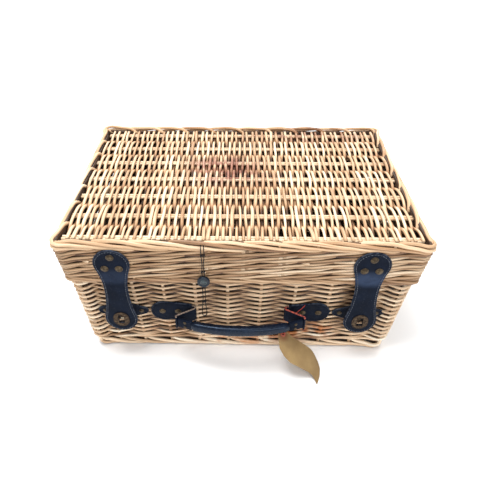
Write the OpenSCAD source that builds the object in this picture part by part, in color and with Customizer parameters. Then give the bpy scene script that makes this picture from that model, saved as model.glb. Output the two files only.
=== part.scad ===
// Wicker picnic basket with a hinged lid, two leather turn-lock straps and a carry handle.
// Millimetres. +Z is up, the front is -Y, and the origin is on the ground under the base's centre.

/* [Lid] */
// Width of the lid across its top edge, left to right
lid_w = 460; // [458:1:464]
// Depth of the lid across its top edge, front to back
lid_d = 324; // [322:1:328]
// Height of the lid's sides
lid_h = 68; // [66:1:70]
// How far each side draws in by its lower edge
lid_taper = 2.5; // [1:0.5:2.5]
// Thickness of the lid's woven sides
lid_t = 8; // [7:0.5:8]

/* [Body] */
// Height of the closed basket
height = 208; // [206:1:210]
// Width of the base on the ground, left to right
base_w = 415; // [411:1:415]
// Depth of the base on the ground, front to back
base_d = 279; // [275:1:279]
// How far each side flares out by the rim
flare = 11; // [9:0.5:11]
// Height of the body's rim, which stands inside the closed lid
rim_z = 152; // [150:1:154]
// Thickness of the body's woven sides
wall_t = 12; // [10:0.5:13]

/* [Borders and panels] */
// Height of the foot border and thickness of the woven base
foot_h = 9; // [8:0.5:10]
// Height of the body's rim border
rim_h = 8; // [7:0.5:9]
// Height of the border along the lid's lower edge
lid_rim_h = 8; // [7:0.5:9]
// Height of the border round the lid's top edge
edge_h = 9; // [8:0.5:10]
// Width of the border round the lid's top edge
edge_t = 11; // [10:0.5:12]
// Thickness of the woven top panel
panel_t = 9; // [8:0.5:10]

/* [Rods] */
// Radius of the upright stakes
stake_r = 2.4; // [2:0.1:2.5]
// Radius of the corner posts
post_r = 3; // [2.5:0.1:3.2]
// Gaps between uprights along the front and back
long_gaps = 10; // [8:1:10]
// Gaps between uprights along each end
short_gaps = 7; // [6:1:7]
// Evenness of the body's stakes, 1 is even and more opens the spacing to the right
stake_skew = 1.12; // [1:0.01:1.15]
// Pairs of sticks under the lid's top weave
stick_rows = 7; // [5:2:7]
// Radius of one stick of a pair
stick_r = 2; // [1.5:0.1:2.2]

/* [Closing straps] */
// Distance of each strap from the middle
strap_x = 161; // [158:1:164]
// Height of the top lobe's centre
strap_top_z = 174; // [172:1:176]
// Radius of the top lobe
strap_top_r = 23; // [21:0.5:24]
// Height of the waist
waist_z = 130; // [126:1:132]
// Half the width of the waist
waist_half = 15.5; // [14:0.5:17]
// Height of the lower lobe's centre, where the slotted plate is
strap_low_z = 78; // [77.5:0.5:78.5]
// Radius of the lower lobe
strap_low_r = 22; // [20:0.5:23]
// Thickness of the strap leather
strap_t = 2.6; // [2.2:0.1:2.6]
// Height of the line where the strap flexes
flex_z = 142; // [142:1:144]

/* [Turn locks] */
// Height of the turn locks and of the handle
lock_z = 79; // [78.5:0.5:79.5]
// Width of the slot in the strap's plate
slot_w = 8; // [7.5:0.5:9]
// Height of the slot in the strap's plate
slot_h = 14.5; // [14:0.5:15.5]
// Width of the turning tongue
tongue_w = 5.5; // [5:0.1:5.5]
// Height of the turning tongue
tongue_h = 11; // [10:0.5:11]
// Radius of the tongue's shaft
shaft_r = 2; // [1.8:0.1:2.2]
// Radial clearance of the shaft in its bore
shaft_gap = 0.05; // [0.03:0.01:0.08]

/* [Handle] */
// Radius of the handle's bow, seen from above
bow_r = 235; // [220:5:260]
// Distance of the grip's middle line from the basket's centre
bow_front = 183.5; // [180:0.5:186]
// Half the length of the padded grip
grip_half = 64; // [60:1:68]
// Half the length of the grip with its end pieces
end_half = 83; // [80:1:84]
// Height of the grip's section
grip_h = 14; // [12:0.5:15]
// Thickness of the grip's section, front to back
grip_t = 11; // [10:0.5:12]

/* [Hidden] */

buff = [0.80, 0.64, 0.44];
cream = [0.90, 0.78, 0.58];
honey = [0.70, 0.52, 0.33];
navy = [0.09, 0.11, 0.18];
old_brass = [0.45, 0.38, 0.28];
kraft = [0.76, 0.62, 0.42];

fine = 48;
skin_gap = 0.1;      // leather lies this far off the weave
rod_gap = 0.05;      // radial clearance of a stake in its bore
end_gap = 0.3;       // a stake stops this far short of the borders
over = 5;            // how far a cutting shape runs past what it cuts
lid_z = height - lid_h;

// ---- Half widths of the body and the lid at a height ----
function body_x(z) = base_w / 2 + flare * z / rim_z;
function body_y(z) = base_d / 2 + flare * z / rim_z;
function lid_x(z) = lid_w / 2 - lid_taper * (height - z) / lid_h;
function lid_y(z) = lid_d / 2 - lid_taper * (height - z) / lid_h;
body_tilt = atan(flare / rim_z);
lid_tilt = atan(lid_taper / lid_h);

// Place of upright i of n along a side, from -1 to 1
function even_place(i, n) = -1 + 2 * i / n;
function skew_place(i, n) = -1 + 2 * pow(i / n, stake_skew);

// ---- Building blocks ----
// A solid with four corners at its foot and four at its head, both counter-clockwise from above
module block(low, high) {
    polyhedron(
        points = concat(low, high),
        faces = [[0, 1, 2, 3], [7, 6, 5, 4], [0, 4, 5, 1], [1, 5, 6, 2], [2, 6, 7, 3], [3, 7, 4, 0]]
    );
}

function rectangle_at(x, y, z) = [[-x, -y, z], [x, -y, z], [x, y, z], [-x, y, z]];
// The same sides as prisms: a slanted profile run along the side, cut to a tapered outline
function slope(a0, a1, t, z0, z1) = [[-a0, z0], [-a0 + t, z0], [-a1 + t, z1], [-a1, z1]];
function taper(a0, a1, z0, z1) = [[-a0, z0], [a0, z0], [a1, z1], [-a1, z1]];
module run_x(outline) {
    translate([-lid_w, 0, 0]) rotate([90, 0, 90]) linear_extrude(2 * lid_w) polygon(outline);
}
module run_y(outline) {
    translate([0, lid_w, 0]) rotate([90, 0, 0]) linear_extrude(2 * lid_w) polygon(outline);
}

// A straight rod between two points
module rod(a, b, r) {
    v = b - a;
    length = norm(v);
    lean = [0, acos(v.z / length), atan2(v.y, v.x)];
    translate(a) rotate(lean) rotate([0, 0, -lean.z]) cylinder(h = length, r = r, $fn = fine);
}

// The same rod, run past both ends for cutting a bore
module rod_bore(a, b, r) {
    v = (b - a) / norm(b - a) * over;
    rod(a - v, b + v, r + rod_gap);
}

// Cuts the bores 1 to n, the second child, out of the first child one after another
module bored(n) {
    if (n == 0) children(0);
    else difference() {
        bored(n - 1) {
            children(0);
            children(1);
        }
        let ($bore = n) children(1);
    }
}

function arc(c, r, from, to, n) = [
    for (i = [0:n])
        let (a = from + (to - from) * i / n)
            c + r * [cos(a), sin(a)]
];
function flipped(p) = [for (i = [len(p) - 1:-1:0]) [-p[i].x, p[i].y]];
function middle(p) = [for (i = [1:len(p) - 2]) p[i]];

// A ribbon's outline: the path with half the thickness on each side
function along(p, i) = p[min(i + 1, len(p) - 1)] - p[max(i - 1, 0)];
function aside(p, i) = [-along(p, i).y, along(p, i).x] / norm(along(p, i));
function ribbon(p, t) = concat(
    [for (i = [0:len(p) - 1]) p[i] + aside(p, i) * t / 2],
    [for (i = [len(p) - 1:-1:0]) p[i] - aside(p, i) * t / 2]
);

// A round cord swept along its route, one ring of sides to each point
cord_sides = 8;
function heading(p, i) = p[min(i + 1, len(p) - 1)] - p[max(i - 1, 0)];
function unit(v) = v / norm(v);
function sideways(p, i) = unit(cross(heading(p, i), [0.13, 0.97, 0.21]));
function ring(p, i, r) = [
    for (k = [0:cord_sides - 1])
        let (u = sideways(p, i), w = unit(cross(heading(p, i), u)), a = 360 * k / cord_sides)
            p[i] + r * (u * cos(a) + w * sin(a))
];
function cord_points(p, r) = [for (i = [0:len(p) - 1]) each ring(p, i, r)];
function cord_faces(n) = concat(
    [[for (k = [0:cord_sides - 1]) k]],
    [
        for (i = [0:n - 2], k = [0:cord_sides - 1])
            let (a = i * cord_sides + k, b = i * cord_sides + (k + 1) % cord_sides)
                [a, a + cord_sides, b + cord_sides, b]
    ],
    [[for (k = [cord_sides - 1:-1:0]) (n - 1) * cord_sides + k]]
);
module cord(p, r) {
    polyhedron(points = cord_points(p, r), faces = cord_faces(len(p)), convexity = 10);
}

// ---- Frames of the sides: x to the right, y up the side, z straight out of it ----
module on_body_front(z = lock_z) {
    translate([0, -body_y(z), z]) rotate([90 + body_tilt, 0, 0]) children();
}
module on_lid_front(z = flex_z) {
    translate([0, -lid_y(z), z]) rotate([90 + lid_tilt, 0, 0]) children();
}
module on_body_back(z) {
    mirror([0, 1, 0]) on_body_front(z) children();
}
module on_lid_back(z) {
    mirror([0, 1, 0]) on_lid_front(z) children();
}
module left_and_right(x) {
    for (side = [-1, 1]) translate([side * x, 0, 0]) children();
}

// ---- Rivets: domed cap, shank through leather and weave, washer inside ----
shank_r = 1.5;
shank_gap = 0.05;
washer_r = 4;
washer_t = 1.2;
cap_rim = 0.7;
cap_h = 2;
module rivet(cap_r, leather, weave) {
    rotate_extrude($fn = fine) polygon([
        [0, -weave - washer_t], [washer_r, -weave - washer_t],
        [washer_r, -weave - skin_gap], [shank_r, -weave - skin_gap],
        [shank_r, leather + skin_gap * 2], [cap_r, leather + skin_gap * 2], [cap_r, leather + cap_rim],
        [cap_r * 0.66, leather + cap_h * 0.85], [0, leather + cap_h]
    ]);
}
module rivet_bore(leather, weave) {
    length = weave + leather + 2 * over;
    translate([0, 0, -weave - over]) cylinder(h = length, r = shank_r + shank_gap, $fn = fine);
}

// ---- Woven base ----
base_wall_x = body_x(0) - wall_t;
base_wall_y = body_y(0) - wall_t;
base_stick_rows = 5;
module base_stick_places() {
    for (i = [0:base_stick_rows - 1]) {
        y = base_wall_y * 0.8 * even_place(i, base_stick_rows - 1);
        translate([0, y, foot_h / 2]) children();
    }
}
module base_panel() {
    color(honey) difference() {
        translate([-base_wall_x, -base_wall_y, 0]) cube([2 * base_wall_x, 2 * base_wall_y, foot_h]);
        base_stick_places() rotate([0, 90, 0])
            cylinder(h = 2 * base_wall_x + over, r = post_r + rod_gap, center = true, $fn = fine);
    }
}
module base_sticks() {
    color(buff) base_stick_places() rotate([0, 90, 0])
        cylinder(h = 2 * (base_wall_x - end_gap), r = post_r, center = true, $fn = fine);
}
module foot_border() {
    color(honey) difference() {
        block(rectangle_at(body_x(0), body_y(0), 0), rectangle_at(body_x(foot_h), body_y(foot_h), foot_h));
        translate([-base_wall_x, -base_wall_y, -over])
            cube([2 * base_wall_x, 2 * base_wall_y, foot_h + 2 * over]);
    }
}

// ---- Woven sides of the body ----
wall_z0 = foot_h;
wall_z1 = rim_z - rim_h;
module body_front_blank() {
    intersection() {
        run_x(slope(body_y(wall_z0), body_y(wall_z1), wall_t, wall_z0, wall_z1));
        run_y(taper(body_x(wall_z0), body_x(wall_z1), wall_z0, wall_z1));
    }
}
module body_left_blank() {
    intersection() {
        run_y(slope(body_x(wall_z0), body_x(wall_z1), wall_t, wall_z0, wall_z1));
        run_x(taper(body_y(wall_z0) - wall_t, body_y(wall_z1) - wall_t, wall_z0, wall_z1));
    }
}
function stake_foot(u) = [u * body_x(wall_z0), -body_y(wall_z0) + wall_t / 2, wall_z0 + end_gap];
function stake_head(u) = [u * body_x(wall_z1), -body_y(wall_z1) + wall_t / 2, wall_z1 - end_gap];
function end_foot(u) = [-body_x(wall_z0) + wall_t / 2, u * body_y(wall_z0), wall_z0 + end_gap];
function end_head(u) = [-body_x(wall_z1) + wall_t / 2, u * body_y(wall_z1), wall_z1 - end_gap];
function corner(s, z) = [s * (body_x(z) - wall_t / 2), -body_y(z) + wall_t / 2, z];
function corner_foot(s) = corner(s, wall_z0) + [0, 0, end_gap];
function corner_head(s) = corner(s, wall_z1) - [0, 0, end_gap];

function body_u(i) = skew_place(i, long_gaps);
function lid_u(i) = even_place(i, long_gaps);
function end_u(i) = even_place(i, short_gaps);
module body_front_bored() {
    bored(long_gaps - 1) {
        body_front_blank();
        rod_bore(stake_foot(body_u($bore)), stake_head(body_u($bore)), stake_r);
    }
}
module front_wall() {
    color(buff) difference() {
        body_front_bored();
        rod_bore(corner_foot(-1), corner_head(-1), post_r);
        rod_bore(corner_foot(1), corner_head(1), post_r);
        on_body_front() tab_rivet_places() rivet_bore(strap_t, wall_t);
        on_body_front() patch_rivet_places() rivet_bore(strap_t, wall_t);
    }
}
module body_back_bored() {
    bored(long_gaps - 1) {
        body_front_blank();
        rod_bore(stake_foot(lid_u($bore)), stake_head(lid_u($bore)), stake_r);
    }
}
module back_wall() {
    color(buff) difference() {
        mirror([0, 1, 0]) body_back_bored();
        mirror([0, 1, 0]) rod_bore(corner_foot(-1), corner_head(-1), post_r);
        mirror([0, 1, 0]) rod_bore(corner_foot(1), corner_head(1), post_r);
        on_body_back(hinge_body_z) hinge_rivet_places() rivet_bore(strap_t, wall_t);
    }
}
module left_wall() {
    color(buff) bored(short_gaps - 1) {
        body_left_blank();
        rod_bore(end_foot(end_u($bore)), end_head(end_u($bore)), stake_r);
    }
}
module right_wall() {
    mirror([1, 0, 0]) left_wall();
}
module front_stakes() {
    color(honey) for (i = [1:long_gaps - 1]) rod(stake_foot(body_u(i)), stake_head(body_u(i)), stake_r);
}
module back_stakes() {
    color(honey) mirror([0, 1, 0])
        for (i = [1:long_gaps - 1]) rod(stake_foot(lid_u(i)), stake_head(lid_u(i)), stake_r);
}
module end_stakes() {
    color(honey) for (side = [0, 1]) mirror([side, 0, 0]) for (i = [1:short_gaps - 1])
        rod(end_foot(end_u(i)), end_head(end_u(i)), stake_r);
}
module corner_posts() {
    color(honey) for (back = [0, 1]) mirror([0, back, 0])
        for (s = [-1, 1]) rod(corner_foot(s), corner_head(s), post_r);
}
module body_rim() {
    color(honey) difference() {
        block(
            rectangle_at(body_x(wall_z1), body_y(wall_z1), wall_z1),
            rectangle_at(body_x(rim_z), body_y(rim_z), rim_z)
        );
        block(
            rectangle_at(body_x(wall_z1 - over) - wall_t, body_y(wall_z1 - over) - wall_t, wall_z1 - over),
            rectangle_at(body_x(rim_z + over) - wall_t, body_y(rim_z + over) - wall_t, rim_z + over)
        );
    }
}

// ---- Lid ----
lid_wall_z0 = lid_z + lid_rim_h;
lid_wall_z1 = height - edge_h;
panel_x = lid_w / 2 - edge_t;
panel_y = lid_d / 2 - edge_t;
panel_top = height - 2;
stick_gap = 0.4;
module lid_stick_places() {
    for (i = [0:stick_rows - 1], pair = [-1, 1]) {
        y = (panel_y - 2 * stick_r - 2) * even_place(i, stick_rows - 1) + pair * (stick_r + stick_gap);
        translate([0, y, panel_top - panel_t / 2]) rotate([0, 90, 0]) children();
    }
}
module lid_panel() {
    color(cream) difference() {
        translate([-panel_x, -panel_y, panel_top - panel_t]) cube([2 * panel_x, 2 * panel_y, panel_t]);
        lid_stick_places() cylinder(h = 2 * panel_x + over, r = stick_r + rod_gap, center = true, $fn = fine);
    }
}
module lid_sticks() {
    color(buff) lid_stick_places()
        cylinder(h = 2 * (panel_x - end_gap), r = stick_r, center = true, $fn = fine);
}
function lid_foot(u) = [u * lid_x(lid_wall_z0), -lid_y(lid_wall_z0) + lid_t / 2, lid_wall_z0 + end_gap];
function lid_head(u) = [u * lid_x(lid_wall_z1), -lid_y(lid_wall_z1) + lid_t / 2, lid_wall_z1 - end_gap];
function lid_end_foot(u) = [-lid_x(lid_wall_z0) + lid_t / 2, u * lid_y(lid_wall_z0), lid_wall_z0 + end_gap];
function lid_end_head(u) = [-lid_x(lid_wall_z1) + lid_t / 2, u * lid_y(lid_wall_z1), lid_wall_z1 - end_gap];
function lid_corner(s, z) = [s * (lid_x(z) - lid_t / 2), -lid_y(z) + lid_t / 2, z];
function lid_corner_foot(s) = lid_corner(s, lid_wall_z0) + [0, 0, end_gap];
function lid_corner_head(s) = lid_corner(s, lid_wall_z1) - [0, 0, end_gap];
module lid_front_blank() {
    intersection() {
        run_x(slope(lid_y(lid_wall_z0), lid_y(lid_wall_z1), lid_t, lid_wall_z0, lid_wall_z1));
        run_y(taper(lid_x(lid_wall_z0), lid_x(lid_wall_z1), lid_wall_z0, lid_wall_z1));
    }
}
module lid_left_blank() {
    intersection() {
        run_y(slope(lid_x(lid_wall_z0), lid_x(lid_wall_z1), lid_t, lid_wall_z0, lid_wall_z1));
        run_x(taper(lid_y(lid_wall_z0) - lid_t, lid_y(lid_wall_z1) - lid_t, lid_wall_z0, lid_wall_z1));
    }
}
module lid_front_bored() {
    bored(long_gaps - 1) {
        lid_front_blank();
        rod_bore(lid_foot(lid_u($bore)), lid_head(lid_u($bore)), stake_r);
    }
}
module lid_front_wall() {
    color(buff) difference() {
        lid_front_bored();
        rod_bore(lid_corner_foot(-1), lid_corner_head(-1), stake_r);
        rod_bore(lid_corner_foot(1), lid_corner_head(1), stake_r);
        on_lid_front() strap_rivet_places() rivet_bore(strap_t, lid_t);
    }
}
module lid_back_wall() {
    color(buff) difference() {
        mirror([0, 1, 0]) lid_front_bored();
        mirror([0, 1, 0]) rod_bore(lid_corner_foot(-1), lid_corner_head(-1), stake_r);
        mirror([0, 1, 0]) rod_bore(lid_corner_foot(1), lid_corner_head(1), stake_r);
        on_lid_back(hinge_lid_z) hinge_rivet_places() rivet_bore(strap_t, lid_t);
    }
}
module lid_left_wall() {
    color(buff) bored(short_gaps - 1) {
        lid_left_blank();
        rod_bore(lid_end_foot(end_u($bore)), lid_end_head(end_u($bore)), stake_r);
    }
}
module lid_right_wall() {
    mirror([1, 0, 0]) lid_left_wall();
}
module lid_posts() {
    color(honey) for (back = [0, 1]) mirror([0, back, 0])
        for (s = [-1, 1]) rod(lid_corner_foot(s), lid_corner_head(s), stake_r);
}
module lid_stakes() {
    color(honey) for (back = [0, 1]) mirror([0, back, 0]) for (i = [1:long_gaps - 1])
        rod(lid_foot(lid_u(i)), lid_head(lid_u(i)), stake_r);
    color(honey) for (side = [0, 1]) mirror([side, 0, 0]) for (i = [1:short_gaps - 1])
        rod(lid_end_foot(end_u(i)), lid_end_head(end_u(i)), stake_r);
}
module lid_edge_border() {
    color(cream) difference() {
        block(
            rectangle_at(lid_x(lid_wall_z1), lid_y(lid_wall_z1), lid_wall_z1),
            rectangle_at(lid_w / 2, lid_d / 2, height)
        );
        translate([-panel_x, -panel_y, lid_wall_z1 - over])
            cube([2 * panel_x, 2 * panel_y, edge_h + 2 * over]);
    }
}
module lid_rim() {
    color(buff) difference() {
        block(
            rectangle_at(lid_x(lid_z), lid_y(lid_z), lid_z),
            rectangle_at(lid_x(lid_wall_z0), lid_y(lid_wall_z0), lid_wall_z0)
        );
        block(
            rectangle_at(lid_x(lid_z - over) - lid_t, lid_y(lid_z - over) - lid_t, lid_z - over),
            rectangle_at(
                lid_x(lid_wall_z0 + over) - lid_t,
                lid_y(lid_wall_z0 + over) - lid_t,
                lid_wall_z0 + over
            )
        );
    }
}

// ---- Rear leather hinges: one strap from the lid, over its lower edge, down to the body ----
hinge_x = 151;
hinge_half = 16;
hinge_lid_z = 166;
hinge_body_z = 112;
hinge_top_z = 180;
hinge_low_z = 96;
hinge_rivet_x = 8;
hinge_bend_z = lid_z - 6;
module hinge_rivet_places() {
    left_and_right(hinge_x) left_and_right(hinge_rivet_x) children();
}
function lid_skin(z) = lid_y(z) + skin_gap * 2;
function body_skin(z) = body_y(z) + skin_gap * 2;
hinge_profile = [
    [lid_skin(hinge_top_z), hinge_top_z], [lid_skin(hinge_top_z) + strap_t, hinge_top_z],
    [lid_skin(lid_z) + strap_t, lid_z], [lid_skin(lid_z) + 1, hinge_bend_z - 1],
    [body_skin(hinge_bend_z - 8) + strap_t, hinge_bend_z - 8],
    [body_skin(hinge_low_z) + strap_t, hinge_low_z],
    [body_skin(hinge_low_z), hinge_low_z], [body_skin(hinge_bend_z - 5), hinge_bend_z - 5],
    [lid_skin(lid_z) - 1.6, hinge_bend_z + 3], [lid_skin(lid_z), lid_z]
];
module hinge_strap(side) {
    color(navy) difference() {
        translate([side * hinge_x - hinge_half, 0, 0]) rotate([90, 0, 90])
            linear_extrude(2 * hinge_half) polygon(hinge_profile);
        on_body_back(hinge_body_z) hinge_rivet_places() rivet_bore(strap_t, wall_t);
        on_lid_back(hinge_lid_z) hinge_rivet_places() rivet_bore(strap_t, lid_t);
    }
}
module hinge_strap_left() {
    hinge_strap(-1);
}
module hinge_strap_right() {
    hinge_strap(1);
}
hinge_cap_r = 4.5;
module hinge_rivets_body() {
    color(old_brass) on_body_back(hinge_body_z) hinge_rivet_places() rivet(hinge_cap_r, strap_t, wall_t);
}
module hinge_rivets_lid() {
    color(old_brass) on_lid_back(hinge_lid_z) hinge_rivet_places() rivet(hinge_cap_r, strap_t, lid_t);
}

// ---- Closing straps: a dog-bone outline, flexing on the line at flex_z ----
function flank_r(lobe_r, run) = (run * run / (lobe_r - waist_half) - (lobe_r + waist_half)) / 2;
upper_run = strap_top_z - waist_z;
lower_run = waist_z - strap_low_z;
upper_flank = flank_r(strap_top_r, upper_run);
lower_flank = flank_r(strap_low_r, lower_run);
upper_turn = atan2(upper_run, waist_half + upper_flank);
lower_turn = atan2(lower_run, waist_half + lower_flank);
strap_half_outline = concat(
    arc([0, strap_low_z], strap_low_r, -90, lower_turn, 12),
    arc([waist_half + lower_flank, waist_z], lower_flank, 180 + lower_turn * 0.9, 180, 6),
    arc([waist_half + upper_flank, waist_z], upper_flank, 180 - upper_turn * 0.1, 180 - upper_turn * 0.9, 6),
    arc([0, strap_top_z], strap_top_r, -upper_turn, 90, 12)
);
strap_outline = concat(strap_half_outline, middle(flipped(strap_half_outline)));

strap_back = lid_y(flex_z) + 0.7;
strap_front = strap_back + strap_t;
flex_gap = 0.4;
strap_cap_r = 5;
top_rivet_z = 185.5;
side_rivet_z = 167.5;
side_rivet_x = 9;
module strap_rivet_places() {
    left_and_right(strap_x) {
        translate([0, top_rivet_z - flex_z, 0]) children();
        left_and_right(side_rivet_x) translate([0, side_rivet_z - flex_z, 0]) children();
    }
}
module strap_top(side) {
    color(navy) difference() {
        on_lid_front() translate([side * strap_x, -flex_z, skin_gap]) linear_extrude(strap_t) intersection() {
            polygon(strap_outline);
            translate([-strap_top_r - over, flex_z + flex_gap / 2])
                square([2 * (strap_top_r + over), height]);
        }
        on_lid_front() strap_rivet_places() rivet_bore(strap_t, lid_t);
    }
}
module strap_top_left() {
    strap_top(-1);
}
module strap_top_right() {
    strap_top(1);
}
module strap_rivets() {
    color(old_brass) on_lid_front() strap_rivet_places() rivet(strap_cap_r, strap_t, lid_t);
}

// Frame of a hanging strap: x to the right, y is height, z is out to the front from the strap's back
module on_strap(side) {
    translate([side * strap_x, -strap_back, 0]) rotate([90, 0, 0]) children();
}
module slot_shape() {
    translate([-slot_w / 2, strap_low_z - slot_h / 2]) square([slot_w, slot_h]);
}
plate_half_w = 11;
plate_half_h = 13;
plate_t = 1;
washer_plate_t = 0.6;
module plate_outline(grow = 0) {
    r = plate_half_w + grow;
    rise = plate_half_h - plate_half_w;
    polygon(concat(
        arc([0, strap_low_z + rise], r, 0, 180, 16),
        arc([0, strap_low_z - rise], r, 180, 360, 16)
    ));
}
module strap_tail(side) {
    color(navy) on_strap(side) linear_extrude(strap_t) difference() {
        intersection() {
            polygon(strap_outline);
            translate([-strap_low_r - over, 0]) square([2 * (strap_low_r + over), flex_z - flex_gap / 2]);
        }
        slot_shape();
    }
}
module slot_plate(side) {
    color(old_brass) on_strap(side) translate([0, 0, strap_t]) linear_extrude(plate_t) difference() {
        plate_outline();
        slot_shape();
    }
}
module slot_washer(side) {
    color(old_brass) on_strap(side) translate([0, 0, -washer_plate_t])
        linear_extrude(washer_plate_t) difference() {
        plate_outline(-1);
        slot_shape();
    }
}
module strap_tail_left() {
    strap_tail(-1);
}
module strap_tail_right() {
    strap_tail(1);
}
module slot_plate_left() {
    slot_plate(-1);
}
module slot_plate_right() {
    slot_plate(1);
}
module slot_washer_left() {
    slot_washer(-1);
}
module slot_washer_right() {
    slot_washer(1);
}

// ---- Turn locks: leather patch, plate with a bore, turning tongue ----
patch_t = 2.2;
patch_mid_r = 17;
patch_tip_r = 7;
patch_half = 35;
patch_rivet_x = 25;
patch_cap_r = 3.5;
lock_plate_t = 2.4;
lock_boss_t = 1.1;
lock_boss_r = 4.5;
lock_plate_r = 9;
foot_r = 3.2;
foot_t = 1;
pocket_gap = 0.3;
pocket_t = 1.2;
head_t = 2.9;
head_out = 10.8;       // distance of the tongue's back from the weave
lock_back = patch_t + 2 * skin_gap;
patch_turn = asin((patch_mid_r - patch_tip_r) / (patch_half - patch_tip_r));
patch_half_outline = concat(
    arc([0, 0], patch_mid_r, -90, -90 + patch_turn, 2),
    arc([patch_half - patch_tip_r, 0], patch_tip_r, -90 + patch_turn, 90 - patch_turn, 8),
    arc([0, 0], patch_mid_r, 90 - patch_turn, 90, 2)
);
module patch_rivet_places() {
    left_and_right(strap_x) left_and_right(patch_rivet_x) children();
}
module lock_patch(side) {
    color(navy) on_body_front() difference() {
        translate([side * strap_x, 0, skin_gap]) linear_extrude(patch_t)
            polygon(concat(patch_half_outline, middle(flipped(patch_half_outline))));
        patch_rivet_places() rivet_bore(strap_t, wall_t);
    }
}
module lock_patch_left() {
    lock_patch(-1);
}
module lock_patch_right() {
    lock_patch(1);
}
module lock_patch_rivets() {
    color(old_brass) on_body_front() patch_rivet_places() rivet(patch_cap_r, patch_t, wall_t);
}
module lock_base(side) {
    color(old_brass) on_body_front() translate([side * strap_x, 0, lock_back]) difference() {
        union() {
            cylinder(h = lock_plate_t, r = lock_plate_r, $fn = fine);
            cylinder(h = lock_plate_t + lock_boss_t, r = lock_boss_r, $fn = fine);
        }
        translate([0, 0, -over]) cylinder(h = lock_plate_t + 2 * over, r = shaft_r + shaft_gap, $fn = fine);
        translate([0, 0, -over]) cylinder(h = pocket_t + over, r = foot_r + pocket_gap, $fn = fine);
    }
}
module lock_base_left() {
    lock_base(-1);
}
module lock_base_right() {
    lock_base(1);
}
module turn_tongue(side) {
    color(old_brass) on_body_front() translate([side * strap_x, 0, 0]) {
        translate([0, 0, lock_back + skin_gap]) cylinder(h = foot_t, r = foot_r, $fn = fine);
        translate([0, 0, lock_back + skin_gap]) cylinder(h = head_out - lock_back, r = shaft_r, $fn = fine);
        translate([-tongue_w / 2, -tongue_h / 2, head_out]) cube([tongue_w, tongue_h, head_t]);
    }
}
module turn_tongue_left() {
    turn_tongue(-1);
}
module turn_tongue_right() {
    turn_tongue(1);
}

// ---- Handle: riveted tabs, leather folded in a Z, end pieces and a padded grip bowed outwards ----
tab_outer = 123;
tab_inner = 66;
tab_half = 19;
tab_inner_half = 14;
tab_rivet_near = 85.5;
tab_rivet_far = 107;
tab_cap_r = 4.5;
module tab_rivet_places() {
    left_and_right(tab_rivet_near) children();
    left_and_right(tab_rivet_far) children();
}
module handle_tab_right() {
    color(navy) on_body_front() difference() {
        translate([0, 0, skin_gap]) linear_extrude(strap_t) polygon(concat(
            arc([tab_outer - tab_half, 0], tab_half, -90, 90, 16),
            [[tab_inner, tab_inner_half], [tab_inner, -tab_inner_half]]
        ));
        tab_rivet_places() rivet_bore(strap_t, wall_t);
    }
}
module handle_tab_left() {
    mirror([1, 0, 0]) handle_tab_right();
}
module handle_tab_rivets() {
    color(old_brass) on_body_front() tab_rivet_places() rivet(tab_cap_r, strap_t, wall_t);
}

fold_t = 2.4;
fold_h = 22;
wall_front = body_y(lock_z);
near_fold_r = 3;
far_fold_r = 2.2;
near_fold = [tab_inner - 2, -wall_front - 2.5 - near_fold_r];
far_fold = [end_half + 0.8, -bow_front + 15.4];
fold_lead = 0.8;
fold_turn = 57;
fold_path = concat(
    [[tab_inner - fold_lead, near_fold.y + near_fold_r]],
    arc(near_fold, near_fold_r, 90, 180 + fold_turn, 8),
    arc(far_fold, far_fold_r, fold_turn, -60, 8)
);
module handle_fold_right() {
    color(navy) translate([0, 0, lock_z - fold_h / 2])
        linear_extrude(fold_h) polygon(ribbon(fold_path, fold_t));
}
module handle_fold_left() {
    mirror([1, 0, 0]) handle_fold_right();
}

bow_centre_y = bow_r - bow_front;
grip_turn = asin(grip_half / bow_r);
end_turn = asin(end_half / bow_r);
end_seam = 0.08;
end_h = 15;
end_t = 5;
end_rivet_x = 73;
end_rivet_rise = 4;
end_cap_r = 2.2;
end_shank_r = 1;
// An arc of the bow between two turns from its middle
module bow(from, to) {
    translate([0, bow_centre_y, lock_z]) rotate([0, 0, -90 + from])
        rotate_extrude(angle = to - from, $fn = 180)
        translate([bow_r, 0]) children();
}
module grip_section() {
    corner = 3.5;
    polygon(concat(
        arc([grip_t / 2 - corner, grip_h / 2 - corner], corner, 0, 90, 3),
        arc([-grip_t / 2 + corner, grip_h / 2 - corner], corner, 90, 180, 3),
        arc([-grip_t / 2 + corner, -grip_h / 2 + corner], corner, 180, 270, 3),
        arc([grip_t / 2 - corner, -grip_h / 2 + corner], corner, 270, 360, 3)
    ));
}
module handle_grip() {
    color(navy) bow(-grip_turn, grip_turn) grip_section();
}
module end_rivet_places() {
    for (side = [-1, 1], level = [-1, 1])
        translate([0, bow_centre_y, lock_z + level * end_rivet_rise])
            rotate([0, 0, side * asin(end_rivet_x / bow_r)])
            translate([0, -bow_r, 0]) rotate([90, 0, 0]) children();
}
module handle_end_right() {
    color(navy) difference() {
        bow(grip_turn + end_seam, end_turn) square([end_t, end_h], center = true);
        end_rivet_places() cylinder(h = end_t * 2, r = end_shank_r + shank_gap, center = true, $fn = fine);
    }
}
module handle_end_left() {
    mirror([1, 0, 0]) handle_end_right();
}
module handle_end_rivets() {
    cap = 0.9;
    color(old_brass) end_rivet_places() union() {
        cylinder(h = end_t + 4 * skin_gap, r = end_shank_r, center = true, $fn = fine);
        for (face = [-1, 1]) translate([0, 0, face * (end_t / 2 + 2 * skin_gap + cap / 2)])
            cylinder(h = cap, r = end_cap_r, center = true, $fn = fine);
    }
}

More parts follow.
